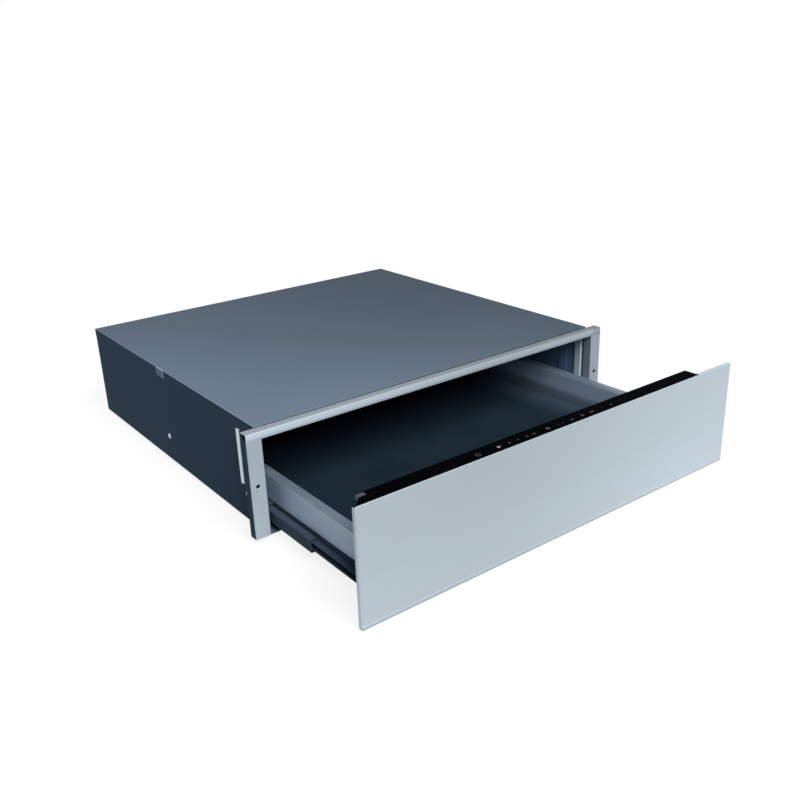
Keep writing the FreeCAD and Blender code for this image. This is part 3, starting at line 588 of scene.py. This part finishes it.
# Darker copy of the slate coat, a painted shade for the side sheets, the rail's end plates and the leaves' feet;
# inside 276.6 mm from the middle, where the inner faces lie, it is painted 2.6 times lighter.
side_paint = powder_coat("slate_side_coat", (76, 96, 116), index=1.04, painted_light_shares=[
    (left_right, 0, 0.2766, 0.2772, 2.6, 1)])
# Darker copy of the slate coat, a painted shade for the stile returns; the inner returns, inside 276.6 mm from the
# middle, are painted up to 5.2 times lighter.
return_paint = powder_coat("slate_return_coat", (76, 96, 116), index=1.04, painted_light_shares=[
    (left_right, 0, 0.2766, 0.2772, (5.2, 3.9, 2.9), 1)])
# Painted shade: the stiles darken steadily from the left end of the bezel to the right.
bezel_steel = brushed("satin_bezel", (178, 191, 200), 0, 0.4, 0.1, painted_light_shares=[
    (left_right, -0.295, 0, 0.59, 0.97, 0.66)])
# Painted light and shade on the rail: darker from left to right, painted shade at its right corner, its front face
# lighter towards the top, and its flat top painted darker.
rail_steel = brushed("satin_rail", (186, 199, 208), 0, 0.4, 0.1, painted_light_shares=[
    (left_right, -0.295, 0, 0.59, 1.12, 0.65),
    (left_right, -0.295, 0.567, 0.582, 1, 0.74),
    (upwards, 0, 0.0575, 0.0625, 0.76, 1.16),
    (upwards, 0, 0.0663, 0.0670, 1, 0.42)])
back_paint = brushed("grey_back_sheet", (122, 138, 156), 0, 0.5, 0.2, 0.05)

# Every CAD node gets the finish of its material slot, and a new piece that stands for it gets the same or its own.
slot_of = {entry["node"]: entry["material_slot"] for entry in record["subparts"]}
body_of = {node: body for body, members in record["behaviour"]["bodies"].items() for node in members}
for name, slot in slot_of.items():
    if not nodes[name].material_slots:
        nodes[name].data.materials.append(finishes[slot])
    for place in nodes[name].material_slots:
        place.material = finishes[slot]


def dress(name, shells, node, finish=None, slot=None):
    """Piece that stands for one CAD node, with its body, and with the finish of its slot unless another finish or
    slot is given.
    """
    slot = slot or slot_of[node]
    return mount_piece(add_piece(name, shells), body_of[node], slot, finish or finishes[slot], node)


def dress_sides(*rows):
    """Pieces that stand for pairs of CAD nodes, the left ones first. Each row is (name, shape, node) and, where they
    are given, a finish and a slot. A shape is worked out from the side's sign and the node's limits."""
    for side, sign in (("left", -1), ("right", 1)):
        for name, shape, node, *finish in rows:
            dress(name + side, shape(sign, *limits(node + side)), node + side, *finish)


# ---- Sheet parts of the housing ----
hair = 0.2    # chamfer of cut sheet edges
sheet_inside, sheet_outside = 276.5, 277.5    # faces of the side sheets, from the middle
side_screw_y, side_screw_z = (46, 275), -30.5
rear_screw_x, rear_screw_z = (-240, -80, 80, 240), 62.5
screw_hole = 2
leaf_end = 4    # how far the leaf's foot goes beyond its nose at each end
tab_y = (268, 290)    # ends of the tabs down the sides of the cover
rail_low, rail_high = limits("bezel_top_rail")
rear_low, rear_high = limits("rear_panel")
cover_back = limits("top_cover")[1, 1]
gland_low, gland_high = limits("cable_gland")
gland_x, gland_z = (gland_low + gland_high)[[0, 2]] / 2
fan_z = limits("fan_shaft")[:, 2].mean()


def side_panel(sign, low, high):
    """Flat side sheet, notched for the bezel, pierced for the leaf and two screws, with a fold along its top."""
    (_, y0, z0), (_, y1, z1) = low, high
    leaf_low, leaf_high = limits("niche_leaf_left")
    clear = 0.4
    notch_y, notch_z = rail_high[1] + 0.2, rail_high[2] - 1.4
    plan = [(y0, z0), (y1, z0), (y1, z1), (notch_y, z1), (notch_y, notch_z), (y0, notch_z)]
    slot = box_loop(leaf_low[1] + leaf_end - clear, leaf_high[1] - leaf_end + clear,
                    leaf_low[2] - clear, leaf_high[2] + clear, 0.8)
    holes = [slot] + [circle_loop(y, side_screw_z, screw_hole, 24) for y in side_screw_y]
    return [pierced(0, plan, holes, *sorted((sign * sheet_inside, sign * sheet_outside)), hair),
            side_block(sign, (265.5, sheet_inside + 0.1), (notch_y + 1, y1 - 1.2), (z1 - 1, z1))]


def top_cover():
    """Cover bent down along its back edge, L-shaped in section, with a tab down each side."""
    thick, sunk = 1, 0.02    # of the sheet, and of the tabs under its top
    (_, y0, z0), (x1, y1, z1) = limits("top_cover")
    x, y, z = x1 - thick, y1 - thick, z1 - thick
    plan = outline([(y0, z, 0), (y, z, 0.3), (y, z0, 0), (y1, z0, 0), (y1, z1, 1.3), (y0, z1, 0.5)])
    tab = [(x - 3 * thick, z, 0), (x, z, 0.1), (x, z0, 0.3), (x1, z0, 0.3), (x1, z1 - sunk, 0.9),
           (x - 3 * thick, z1 - sunk, 0)]
    return [bar(0, plan, -x, x, 0.35)] + [bar(1, outline(tab, sign=sign), *tab_y, 0.15) for sign in (-1, 1)]


def rear_panel():
    """Flat back sheet with two groups of upright vent slots, a hole for the gland and four screw holes."""
    holes = [circle_loop(gland_x, gland_z, 8.1, 40)]
    holes += [circle_loop(x, rear_screw_z, screw_hole, 24) for x in rear_screw_x]
    for middle in (-130, 130):
        for x in middle + 8 * (np.arange(9) - 4):
            holes.append(box_loop(x - 1.5, x + 1.5, fan_z - 20, fan_z + 20, 1.2, 3))
    plan = box_loop(rear_low[0], rear_high[0], rear_low[2], rear_high[2])
    return [pierced(1, plan, holes, rear_low[1], rear_high[1], hair)]


dress("cover_sheet", top_cover(), "top_cover", cover_paint)
dress("back_sheet", rear_panel(), "rear_panel")
dress_sides(("side_sheet_", side_panel, "side_panel_", side_paint))


# ---- Bezel ----
bezel_sheet = 1.2
stile_inner = 275.3
fixing_x = 285.5


def stile_face(sign, low, high):
    """Front face of a stile with its fixing hole and chamfered edges."""
    x = sorted((sign * stile_inner, sign * stile_outer))
    hole = circle_loop(sign * fixing_x, 0, 2.6)
    return [pierced(1, box_loop(*x, low[2], high[2]), [hole], 0, bezel_sheet, 0.3)]


def stile_returns(sign, low, high):
    """Returns behind the face, in the darker coat that paints shade on them: one along each edge and one across the
    foot.
    """
    y, z = (bezel_sheet, high[1]), (low[2], high[2])
    return [side_block(sign, (stile_outer - bezel_sheet, stile_outer), y, z, hair, 1),
            side_block(sign, (stile_inner, stile_inner + bezel_sheet), y, z, hair, 1),
            side_block(sign, (sheet_outside + 0.2, stile_outer - bezel_sheet), y, (low[2], low[2] + bezel_sheet))]


def top_rail():
    """L-shaped rail: a narrow front face bent back into a flat top."""
    (x0, _, z0), (x1, y1, z1) = rail_low, rail_high
    z = z1 - bezel_sheet
    plan = outline([(0, z0, 0.25), (bezel_sheet, z0, 0.25), (bezel_sheet, z, 0.2), (y1, z, 0.2), (y1, z1, 0.4),
                    (0, z1, 1)])
    return [bar(0, plan, x0, x1, 0.3)]


def rail_ends():
    """End plates under the rail, 0.1 mm inside its ends and its back edge, in the darker coat that paints shade on
    them.
    """
    x, y = (rail_high[0] - bezel_sheet, rail_high[0] - 0.1), (bezel_sheet, rail_high[1] - 0.1)
    return [side_block(sign, x, y, (rail_low[2], rail_high[2] - bezel_sheet), hair, 1) for sign in (-1, 1)]


stile_outer = limits("bezel_stile_right")[1, 0]
dress_sides(("stile_face_", stile_face, "bezel_stile_", bezel_steel),
            ("stile_returns_", stile_returns, "bezel_stile_", return_paint, "housing_paint"))
dress("rail_angle", top_rail(), "bezel_top_rail", rail_steel)
dress("rail_end_plates", rail_ends(), "bezel_top_rail", side_paint, "housing_paint")


# ---- Bright strips ----
def leaf_nose(sign, low, high):
    """Springy leaf: a rounded nose that stands out of the slot."""
    root, tip = 275.6, np.abs([low[0], high[0]]).max()
    y0, y1 = low[1] + leaf_end, high[1] - leaf_end
    plan = outline([(root, y0, 0), (tip, y0, 1.6), (tip, y1, 1.6), (root, y1, 0)], 6, sign)
    return [bar(2, plan, low[2], high[2], 0.5)]


def leaf_foot(sign, low, high):
    """Foot of the leaf, flat on the inner side of the panel, in the side sheets' darker coat with its painted shade
    and painted light.
    """
    return [side_block(sign, (sheet_inside - 1, sheet_inside), (low[1], high[1]), (low[2], high[2]), hair, 0)]


def post_strip(sign, low, high):
    """Upright strip whose long edges are rounded on the inner side."""
    (x0, y0, z0), (x1, y1, z1) = low, high
    left, right = (0.9, 0)[::sign]
    return [bar(2, outline([(x0, y0, left), (x1, y0, right), (x1, y1, right), (x0, y1, left)]), z0, z1, 0.3)]


dress_sides(("leaf_nose_", leaf_nose, "niche_leaf_"),
            ("leaf_foot_", leaf_foot, "niche_leaf_", side_paint, "housing_paint"),
            ("post_strip_", post_strip, "front_post_"))


# ---- Simple blocks and boxes ----
def bracket(sign, low, high):
    """Slide bracket: a channel against the wall with one leg going up it, the same section all along."""
    x0, x1 = sorted(np.abs([low[0], high[0]]))
    t, bend = 1.2, 0.3
    z0, z1, top = low[2], low[2] + 24, high[2]
    corners = [(x0, z0, t), (x1, z0, 0), (x1, z0 + t, 0), (x0 + t, z0 + t, bend), (x0 + t, z1 - t, bend),
               (x1, z1 - t, 0), (x1, top, 0), (x1 - t, top, 0), (x1 - t, z1, bend), (x0, z1, t)]
    return [bar(1, outline(corners, sign=sign), low[1], high[1], hair)]


def drawer_back():
    """Back wall of the drawer with a row of slots, bent forward into a lip along its top."""
    (x0, y0, z0), (x1, y1, z1) = limits("drawer_back")
    t, bend = 1, 0.3
    y, z, wall_top = y1 - t, z1 - t, z1 - 1.6
    slots = [box_loop(x - 1.75, x + 1.75, z0 + 9, z1 - 7, 1.4) for x in 9 * (np.arange(13) - 6)]
    lip = outline([(y, wall_top, 0), (y1, wall_top, 0), (y1, z1, 1.3), (y0, z1, bend), (y0, z, bend), (y, z, bend)])
    return [pierced(1, box_loop(x0, x1, z0, wall_top), slots, y, y1, hair), bar(0, lip, x0, x1)]


dress_sides(("bracket_section_", bracket, "slide_bracket_"))
dress("pan_pressing", [tray(2, *limits("drawer_pan"), True, 1.6)], "drawer_pan")
dress("carrier_pressing", [tray(1, *limits("front_carrier"), False, 1.4)], "front_carrier")
dress("back_wall", drawer_back(), "drawer_back", back_paint)
dress("front_wall", [block(*limits("drawer_front_wall"), 0, hair, 1)], "drawer_front_wall")
dress("moulded_mat", [block(*limits("anti_slip_mat"), 4, 0.6)], "anti_slip_mat")
dress("wall_box_lid", [block(*limits("terminal_lid"), 2.5, 0.5)], "terminal_lid")
soft_edges = {"base_plate": 0.3, "latch_body": 0.6, "terminal_box": 0.6, "control_box": 0.5, "slide_stops": 0.8}
for node, width in soft_edges.items():
    mount_piece(softened(node, width), body_of[node], slot_of[node], finishes[slot_of[node]], node)


# ---- Front sheet ----
glass_low, glass_high = limits("control_glass")


def rim_of(low, high, radius, side_stations, top_stations, steps=6):
    """Rounded rectangle in X and Z, anticlockwise from the foot of its right side: its points, its outward directions
    and the index where its left side starts. Its sides and its top have points at the given stations."""
    (x0, z0), (x1, z1) = low, high
    left, right, under, over = x0 + radius, x1 - radius, z0 + radius, z1 - radius
    lines = [(x1, side_stations), (top_stations[::-1], z1), (x0, side_stations[::-1]), ([left, right], z0)]
    centres = [(right, over), (left, over), (left, under), (right, under)]
    turn = np.linspace(0, pi / 2, steps + 1)[1:-1]
    rim, out = [], []
    for quarter, (line, centre) in enumerate(zip(lines, centres)):
        line = np.stack(np.broadcast_arrays(*line), 1)
        angle = quarter * pi / 2 + np.concatenate([np.zeros(len(line)), turn])
        out.append(np.stack([np.cos(angle), np.sin(angle)], 1))
        rim += [line, centre + radius * out[-1][len(line):]]
    return np.concatenate(rim), np.concatenate(out), len(side_stations) + len(top_stations) + 2 * len(turn)


def banded_face(first, left, count, total):
    """Flat face inside a rim, cut into bands that join the points of its right side with those of its left side."""
    at = (first + np.arange(total + 1) % total).tolist()
    one_side, other_side = at[:count], at[left + count - 1:left - 1:-1]
    ends = [tuple(at[count - 1:left + 1]), tuple(at[left + count - 1:])]
    return ends + list(zip(one_side, one_side[1:], other_side[1:], other_side))


def front_sheet():
    """Steel tray with elliptic bends. Round the rim, the section runs from the face through a bend
    (inset a (1 - sin t), depth b (1 - cos t)) to the end of the return and back along the inside. The face has one
    shallow crease, depth 0.35 exp(-((z - z0) / 0.5)^2) mm, and the return is missing where the glass lies."""
    (x0, y0, z0), (x1, y1, z1) = limits("front_skin")
    thickness, radius = 1.2, 3    # of the sheet, and of the corners of its face
    foot_inset, side_inset, bend_depth, top_bend = 2.6, 5, 2.2, 0.5
    strip, cut_edge = 0.4, 0.12    # narrow flat inside the bend, and the chamfer of the return's edge
    crease = z0 + 6
    stations = np.array([z0 + radius, z0 + 4.4, *(crease + np.linspace(-1, 1, 7)), z1 - 9, z1 - radius])
    step = glass_high[0] + 0.2    # where the return starts beside the glass
    tops = np.array([x0 + radius, step - 0.02, step + 0.02, x1 - radius])
    rim, out, left = rim_of((x0, z0), (x1, z1), radius, stations, tops)
    x, z = rim.T
    above, sideways = out[:, 1] > 0.7, np.abs(out[:, 0]) > 0.999
    bare = above & (x < step)
    widening = np.clip((np.minimum(z - z0, z1 - z) - radius) / 3, 0, 1)
    inset = np.where(above, top_bend, foot_inset) + sideways * (side_inset - foot_inset) * widening
    depth = np.where(above, top_bend, bend_depth)
    reach = np.where(bare, thickness, y1 - y0)
    dent = sideways * 0.35 * np.exp(-((z - crease) / 0.5) ** 2)

    def ring(inward, back):
        """The rim moved inward and back."""
        u, v = (rim - out * np.broadcast_to(inward, len(rim))[:, None]).T
        return np.stack([u, y0 + back, v], 1)

    rings = [ring(inset + strip, dent)]
    rings += [ring(inset * (1 - sin(t)), depth * (1 - cos(t)) + dent * cos(t)) for t in np.linspace(0, pi / 2, 7)]
    rings += [ring(0, reach - cut_edge), ring(cut_edge, reach), ring(thickness * np.where(bare, 0.5, 1), reach)]
    for share in np.linspace(1, 0, 5):
        t = share * pi / 2
        inward = inset + strip - (inset + strip - thickness) * sin(t)
        back = depth - (depth - thickness) * cos(t)
        rings.append(ring(np.select([bare, above], [thickness + 2 * (1 - share), thickness + 1 - share], inward),
                          np.select([bare, above], [thickness, thickness + share], back)))
    total, last = len(rim), (len(rings) - 1) * len(rim)
    faces = quads_between(len(rings), total)
    faces += [face[::-1] for face in banded_face(0, left, len(stations), total)]
    faces += banded_face(last, left, len(stations), total)
    return shell(np.concatenate(rings), faces)


dress("front_sheet", [front_sheet()], "front_skin")


# ---- Touch strip ----
def glass_plan():
    """Outline of the strip seen from above: square at the right, slanted and notched at the left."""
    (x0, y0, _), (x1, y1, _) = glass_low, glass_high
    cap_low, cap_high = limits("corner_cap")
    small, notch_y = 0.4, cap_low[1] - 0.2
    return outline([(x0, y0, 0), (x1, y0, small), (x1, y1, small), (cap_high[0], y1, small),
                    (cap_high[0], notch_y, small), (cap_low[0], notch_y, small)], 3)


glass = dress("glass_strip", [bar(2, glass_plan(), glass_low[2], glass_high[2])], "control_glass")
bevelled(glass, 0.3).modifiers["edges"].harden_normals = True
dress("corner_cap_crowned", [crowned_block(*limits("corner_cap"), 1.2, 1.2)], "corner_cap")

# Touch marks: thin prints that stand 0.03 mm above the glass, in a row at print_y.
print_y = -209
print_z = (glass_high[2] - 0.03, glass_high[2] + 0.03)


def mark_bar(x, rise, width, depth):
    """Small flat bar with rounded ends, behind the row's middle by its rise."""
    u, v, y = width / 2, depth / 2, print_y + rise
    return bar(2, box_loop(x - u, x + u, y - v, y + v, 0.9 * min(u, v)), *print_z)


def mark_ring(x, radius, line):
    """Flat ring."""
    outer, inner = [circle_loop(x, print_y, r, 36) for r in (radius, radius - line)]
    return hollow_bar(2, outer, inner, *print_z)


def mark_arc(x, radius, line, start, end):
    """Flat arc of a circle, from one angle to another in degrees."""
    angle = np.radians(np.linspace(start, end, 37))
    circle = np.stack([np.cos(angle), np.sin(angle)], 1)
    return bar(2, np.concatenate([circle * radius, circle[::-1] * (radius - line)]) + (x, print_y), *print_z)


def mark_dots(radius, *places):
    """Flat discs."""
    return [bar(2, circle_loop(x, print_y, radius, 24), *print_z) for x in places]


def mark_arrow(x, size):
    """Flat triangle that points to the right."""
    h = size / 2
    return bar(2, np.array([(x - h, print_y - h), (x + h, print_y), (x - h, print_y + h)]), *print_z)


def mark_level(x, count):
    """Row of bars, each a little longer than the last."""
    return [mark_bar(x + 1.3 * (step - (count - 1) / 2), 0, 0.8, 1.6 + 0.5 * step) for step in range(count)]


power = [mark_arc(-134, 3, 0.7, 120, 420), mark_bar(-134, 2.4, 0.7, 2.6)]
lamp = [mark_arrow(-104, 5)]
clock = [mark_ring(-31, 2.2, 0.6), mark_bar(-31, 0.6, 0.6, 1.8)]
cup = [mark_arc(7, 2.2, 0.5, 180, 360), mark_bar(7, 0.3, 4.2, 0.5)]
plate = [mark_ring(24.5, 2.4, 0.5), mark_ring(24.5, 1.3, 0.4)]
start = mark_dots(0.6, 58) + [mark_arrow(74, 3)]
levels = mark_level(-76.5, 2) + mark_level(-63.5, 3) + mark_level(-53, 4)
touch_marks = {
    "bright": ((168, 172, 180), lamp),
    "soft": ((122, 126, 136), mark_level(-89.5, 2) + clock + mark_dots(0.8, 38, 40.5, 43)),
    "dim": ((78, 82, 92), power + levels + mark_dots(0.7, -15, -7) + cup + plate + start),
}
for name, (tone, shells) in touch_marks.items():
    mount_piece(add_piece("touch_marks_" + name, shells), "drawer", "black_glass", print_ink(name + "_ink", tone))


# ---- Drawer sides and slides ----
def side_profile(sign, low, high):
    """Hollow side profile: flat walls, tops rounded, with a step in where it laps inside the pan."""
    wall, lap, bend = 1, 1.2, 0.3
    inner_x, outer_x = sorted(np.abs([low[0], high[0]]))
    pan_edge = limits("drawer_pan")[1, 2]

    def section(grow, top_radius):
        """Outline of the section, drawn in by a distance."""
        x0, x1, step, z0, z1 = inner_x + grow, outer_x - grow, pan_edge + grow, low[2] + grow, high[2] - grow
        return outline([(x0, z0, bend), (x1 - lap, z0, bend), (x1 - lap, step, bend), (x1, step, bend),
                        (x1, z1, top_radius), (x0, z1, top_radius)], sign=sign)

    return [hollow_bar(1, section(0, 2.5), section(wall, 1.5), low[1], high[1])]


def inward_channel(sign, low, high):
    """Rolled U section along Y, open towards the middle: a web and two flanges with rounded bends."""
    (x0, y0, z0), (x1, y1, z1) = low, high
    t, bend = 1.2, 0.3
    tip, web = (x0, x1)[::sign]
    inner = web - sign * t
    plan = outline([(web, z0, 1.4), (tip, z0, bend), (tip, z0 + t, bend), (inner, z0 + t, bend),
                    (inner, z1 - t, bend), (tip, z1 - t, bend), (tip, z1, bend), (web, z1, 1.4)], 4)
    return [bar(1, plan, y0, y1)]


def outward_channel(sign, low, high):
    """The same section, open the other way."""
    return inward_channel(-sign, low, high)


dress_sides(("side_profile_", side_profile, "drawer_side_"))
dress_sides(("rolled_outer_", inward_channel, "slide_outer_"), ("rolled_middle_", inward_channel, "slide_middle_"),
            ("rolled_inner_", outward_channel, "slide_inner_"))


# ---- Screws, feet and gland ----
def screw_head(axis, sign, centre):
    """Domed head with a cross recess: height(r) = h (1 - 0.75 (r / R)^2.4), less 1 mm inside a soft-edged cross."""
    radius, height, recess = 4, 1.8, 1
    arm_width, arm_length = 0.45, 2    # halves
    r = radius * np.linspace(1, 0.02, 16)[:, None]
    plan = r[..., None] * circle_loop(0, 0, 1, 48)
    near, far = np.sort(abs(plan)).transpose(2, 0, 1)
    cross = 1 / (1 + np.exp((near - arm_width) / 0.06)) / (1 + np.exp((far - arm_length) / 0.08))
    rings = np.zeros((17, 48, 3))
    rings[:, :, across(axis)] = plan[[0, *range(16)]]
    rings[1:, :, axis] = sign * (height * (1 - 0.75 * (r / radius) ** 2.4) - recess * cross)
    return lofted(rings + centre)


def housing_screws():
    """Four screws in the side panels and four along the back lip of the cover."""
    shells = [screw_head(0, sign, (sign * sheet_outside, y, side_screw_z)) for sign in (-1, 1) for y in side_screw_y]
    return shells + [screw_head(1, 1, (x, cover_back, rear_screw_z)) for x in rear_screw_x]


def foot(x, y):
    """Rubber foot: tapered, rounded at the floor, with a shallow dish for its screw."""
    z0, z1 = limits("feet")[:, 2]
    profile = [(z0 + 2.2, 0), (z0 + 2.2, 2.8), (z0 + 0.4, 3.4), (z0, 4.2), (z0, 8.2),
               (z0 + 0.25, 9), (z0 + 0.9, 9.6), (z1 - 0.6, 10.9), (z1, 11)]
    return lofted(spun(2, (x, y, 0), profile))


def gland_body():
    """Cable gland: grooved flange, ribbed sleeve that narrows outwards, and a bore for the cord."""
    y0, wall, y1 = gland_low[1], rear_high[1], gland_high[1]
    flange = wall + 4
    profile = [(y0, 4.2), (y0, 8), (wall, 8), (wall, 10.9), (wall + 0.4, 11),
               (flange - 0.6, 11), (flange, 10.4), (flange, 8)]
    for rib in range(4):
        y, r = flange + 1.2 + 2.4 * rib, 8 - 0.43 * (rib + 0.5)
        profile += [(y, r), (y + 0.3, r - 0.5), (y + 1, r - 0.55), (y + 1.3, r - 0.1)]
    profile += [(y1 - 0.4, 6.2), (y1, 5.8), (y1, 4.5), (y1 - 0.3, 4.2)]
    return looped(spun(1, (gland_x, 0, gland_z), profile, 60))


def gland_nut():
    """Hexagon nut inside the box: radius a / cos(angle - nearest flat), with a round bore."""
    angle = around(72)
    flat = (angle + pi / 6) % (pi / 3) - pi / 6
    apothem = 11 * cos(pi / 6)
    turn = np.stack([np.cos(angle + pi / 6), np.sin(angle + pi / 6)], 1)
    hexagon = turn * (apothem / np.cos(flat))[:, None] + (gland_x, gland_z)
    bore = turn * 8.02 + (gland_x, gland_z)
    return hollow_bar(1, hexagon, bore, gland_low[1] + 0.01, gland_low[1] + 5)


dress("cross_head_screws", housing_screws(), "housing_screws")
dress("round_feet", [foot(x, y) for x in (-230, 230) for y in (60, 480)], "feet")
dress("ribbed_gland", [gland_body(), gland_nut()], "cable_gland")


# ---- Fan ----
def guard_wires():
    """Wire guard: round rings, and spokes with domed ends behind them that end on the outer ring."""
    middle = np.array([0, limits("fan_guard")[:, 1].mean(), fan_z])
    wire, arm = 0.95, 41.5
    shells = []
    for radius in (10.5, 21, 31.5, 42):
        bead = circle_loop(radius, middle[1], wire, 10)[:, ::-1]
        shells.append(looped(spun(1, (0, 0, fan_z), bead, 72)))
    dome = np.linspace(0.15, pi / 2, 4)
    end = np.stack([arm - wire * (1 - np.cos(dome)), wire * np.sin(dome)], 1)
    spoke = spun(0, (0, 0, 0), np.concatenate([end * (-1, 1), end[::-1]]), 12)
    for turn in (radians(45), radians(135)):
        rotation = [(cos(turn), 0, sin(turn)), (0, 1, 0), (-sin(turn), 0, cos(turn))]
        shells.append(lofted(spoke @ rotation + middle))
    return shells


def blade(turn, middle_y):
    """Fan blade: an arched section of chord 11.5 + 2.5 s mm and pitch 40 - 10 s degrees, for s from 0 at the hub to 1
    at the tip, wrapped on a circle of radius 12.8 + 25.9 s mm."""
    loop = around(20)
    place = np.cos(loop) / 2        # along the chord, as a share of it
    bulge = 1 - (2 * place) ** 2    # 0 at both ends of the chord and 1 at its middle
    rings = []
    for s in np.linspace(0, 1, 9):
        r, chord, pitch = 12.8 + 25.9 * s, 11.5 + 2.5 * s, radians(40 - 10 * s)
        rise = 0.09 * chord * bulge + (0.85 - 0.35 * s) * np.sin(loop) * np.sqrt(np.clip(bulge, 0.02, 1))
        y = middle_y + place * chord * cos(pitch) + rise * sin(pitch)
        arc = turn + (rise * cos(pitch) - place * chord * sin(pitch)) / r
        rings.append(np.stack([r * np.sin(arc), y, fan_z + r * np.cos(arc)], 1))
    return lofted(rings)


def impeller():
    """Seven blades on a hub with a rounded nose and a bore."""
    middle = limits("fan_impeller")[:, 1].mean()
    y0, y1 = middle - 6.5, middle + 6.5
    hub = [(y0, 2.5), (y0, 10.5), (y0 + 0.5, 12.2), (y0 + 1.5, 13.4), (y0 + 3, 14), (y1, 14), (y1, 11.5),
           (y1 - 4, 11), (y1 - 4, 5), (y1, 4.6), (y1, 2.5)]
    return [looped(spun(1, (0, 0, fan_z), hub, 56))] + [blade(i * 2 * pi / 7, middle) for i in range(7)]


def motor():
    """Motor can with rolled grooves and rounded edges, bored for the shaft."""
    y0, y1 = limits("fan_motor")[:, 1]
    bore, seat, groove, can = 2.55, 3, 19.4, 20    # radii
    profile = [(y0, bore), (y0, 18.6), (y0 + 0.5, 19.6), (y0 + 1.4, can)]
    for y in y0 + np.array([6, 10, 14]):
        profile += [(y - 0.9, can), (y - 0.4, groove), (y + 0.4, groove), (y + 0.9, can)]
    profile += [(y1, can), (y1, seat), (y1 - 5.4, seat), (y1 - 5.5, bore)]
    return looped(spun(1, (0, 0, fan_z), profile, 64))


dress("wire_guard", guard_wires(), "fan_guard")
dress("moulded_impeller", impeller(), "fan_impeller")
dress("grooved_motor", [motor()], "fan_motor")


# ---- Latch spring ----
def latch_coil():
    """Coil of round wire with closed ends: at share s of its turns, the wire's middle is at angle 2 pi n s and at
    height h (s - k sin(2 pi s) / 2 pi), so that it climbs least at both ends."""
    low, high = limits("latch_spring")
    wire, turns, per_turn, flatness = 0.5, 6, 36, 0.7
    share = np.linspace(0, 1, turns * per_turn + 1)
    radius = (high[0] - low[0]) / 2 - wire
    height = high[1] - low[1] - 2 * wire
    angle = 2 * pi * turns * share
    out = np.stack([np.cos(angle), 0 * angle, np.sin(angle)], 1)
    up = np.array([0, 1, 0])
    climb = low[1] + wire + height * (share - flatness * np.sin(2 * pi * share) / (2 * pi))
    middle = (low + high) / 2 * (1, 0, 1) + radius * out + climb[:, None] * up
    ring = around(10)[:, None]
    return lofted(middle[:, None] + wire * (np.cos(ring) * out[:, None] + np.sin(ring) * up))


coil = dress("coil_spring", [latch_coil()], "latch_spring")
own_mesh(coil)


# ---- Floor, light and camera ----
white = (1, 1, 1, 1)


def seen_directly(tree):
    """One where a camera, glossy or transmission ray meets the surface, and zero for light that falls on it."""
    rays = add_node(tree, "LightPath", "Is Camera Ray", {}).node.outputs
    seen = calculated("MAXIMUM", rays["Is Camera Ray"], rays["Is Glossy Ray"])
    return calculated("MAXIMUM", seen, rays["Is Transmission Ray"])


def add_floor():
    """Pale floor: most of its brightness is its own, so that it stays white and still takes a soft shadow."""
    size, z = 30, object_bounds()[0].z
    mesh = bpy.data.meshes.new("floor")
    mesh.from_pydata([(-size, -size, z), (size, -size, z), (size, size, z), (-size, size, z)], [], [(0, 1, 2, 3)])
    floor = add_object("floor", mesh)
    material = bpy.data.materials.new("pale_floor")
    material.use_nodes = True
    tree = material.node_tree
    tree.nodes.clear()
    diffuse = add_node(tree, "BsdfDiffuse", "BSDF", {"Color": (0.16, 0.16, 0.16, 1)})
    own_light = calculated("MULTIPLY", seen_directly(tree), 0.86)
    glow = add_node(tree, "Emission", "Emission", {"Color": white, "Strength": own_light})
    both = add_node(tree, "AddShader", "Shader", {0: diffuse, 1: glow})
    feed(tree.nodes.new("ShaderNodeOutputMaterial"), {"Surface": both})
    mesh.materials.append(material)


def add_world():
    """White where it is seen, a dim cool sky where it only lights."""
    world = bpy.data.worlds.new("studio")
    world.use_nodes = True
    sky = (0.105, 0.125, 0.16, 1)
    tree = world.node_tree
    feed(tree.nodes["Background"], {"Color": blended(seen_directly(tree), sky, white)})
    bpy.context.scene.world = world


def add_sun(name, direction, strength, softness):
    """Soft sun shining along a direction."""
    light = bpy.data.lights.new(name, "SUN")
    light.energy = strength
    light.angle = radians(softness)
    sun = add_object(name, light)
    sun.rotation_mode = "QUATERNION"
    sun.rotation_quaternion = Vector(direction).to_track_quat("-Z", "Y")


camera_place = Vector((-0.697, -0.840, 0.4695))
camera_turn = radians(36.37)    # from straight back towards the right
camera_dip = radians(21.83)
camera_roll = radians(-2.19)
focal_pixels = 894
picture_width = 800
sensor_width = 36


def add_camera():
    """Camera from its place and its turn, dip and roll."""
    lens = bpy.data.cameras.new("camera")
    lens.sensor_width = sensor_width
    lens.lens = focal_pixels / picture_width * sensor_width
    camera = add_object("camera", lens)
    camera.matrix_world = (Matrix.Translation(camera_place) @ Matrix.Rotation(-camera_turn, 4, "Z")
                           @ Matrix.Rotation(pi / 2 - camera_dip, 4, "X") @ Matrix.Rotation(camera_roll, 4, "Z"))
    bpy.context.scene.camera = camera


add_floor()
add_world()
add_sun("key", (0.06, 0.69, -0.72), 3.8, 40)
add_camera()
bpy.context.scene.view_settings.view_transform = "Standard"
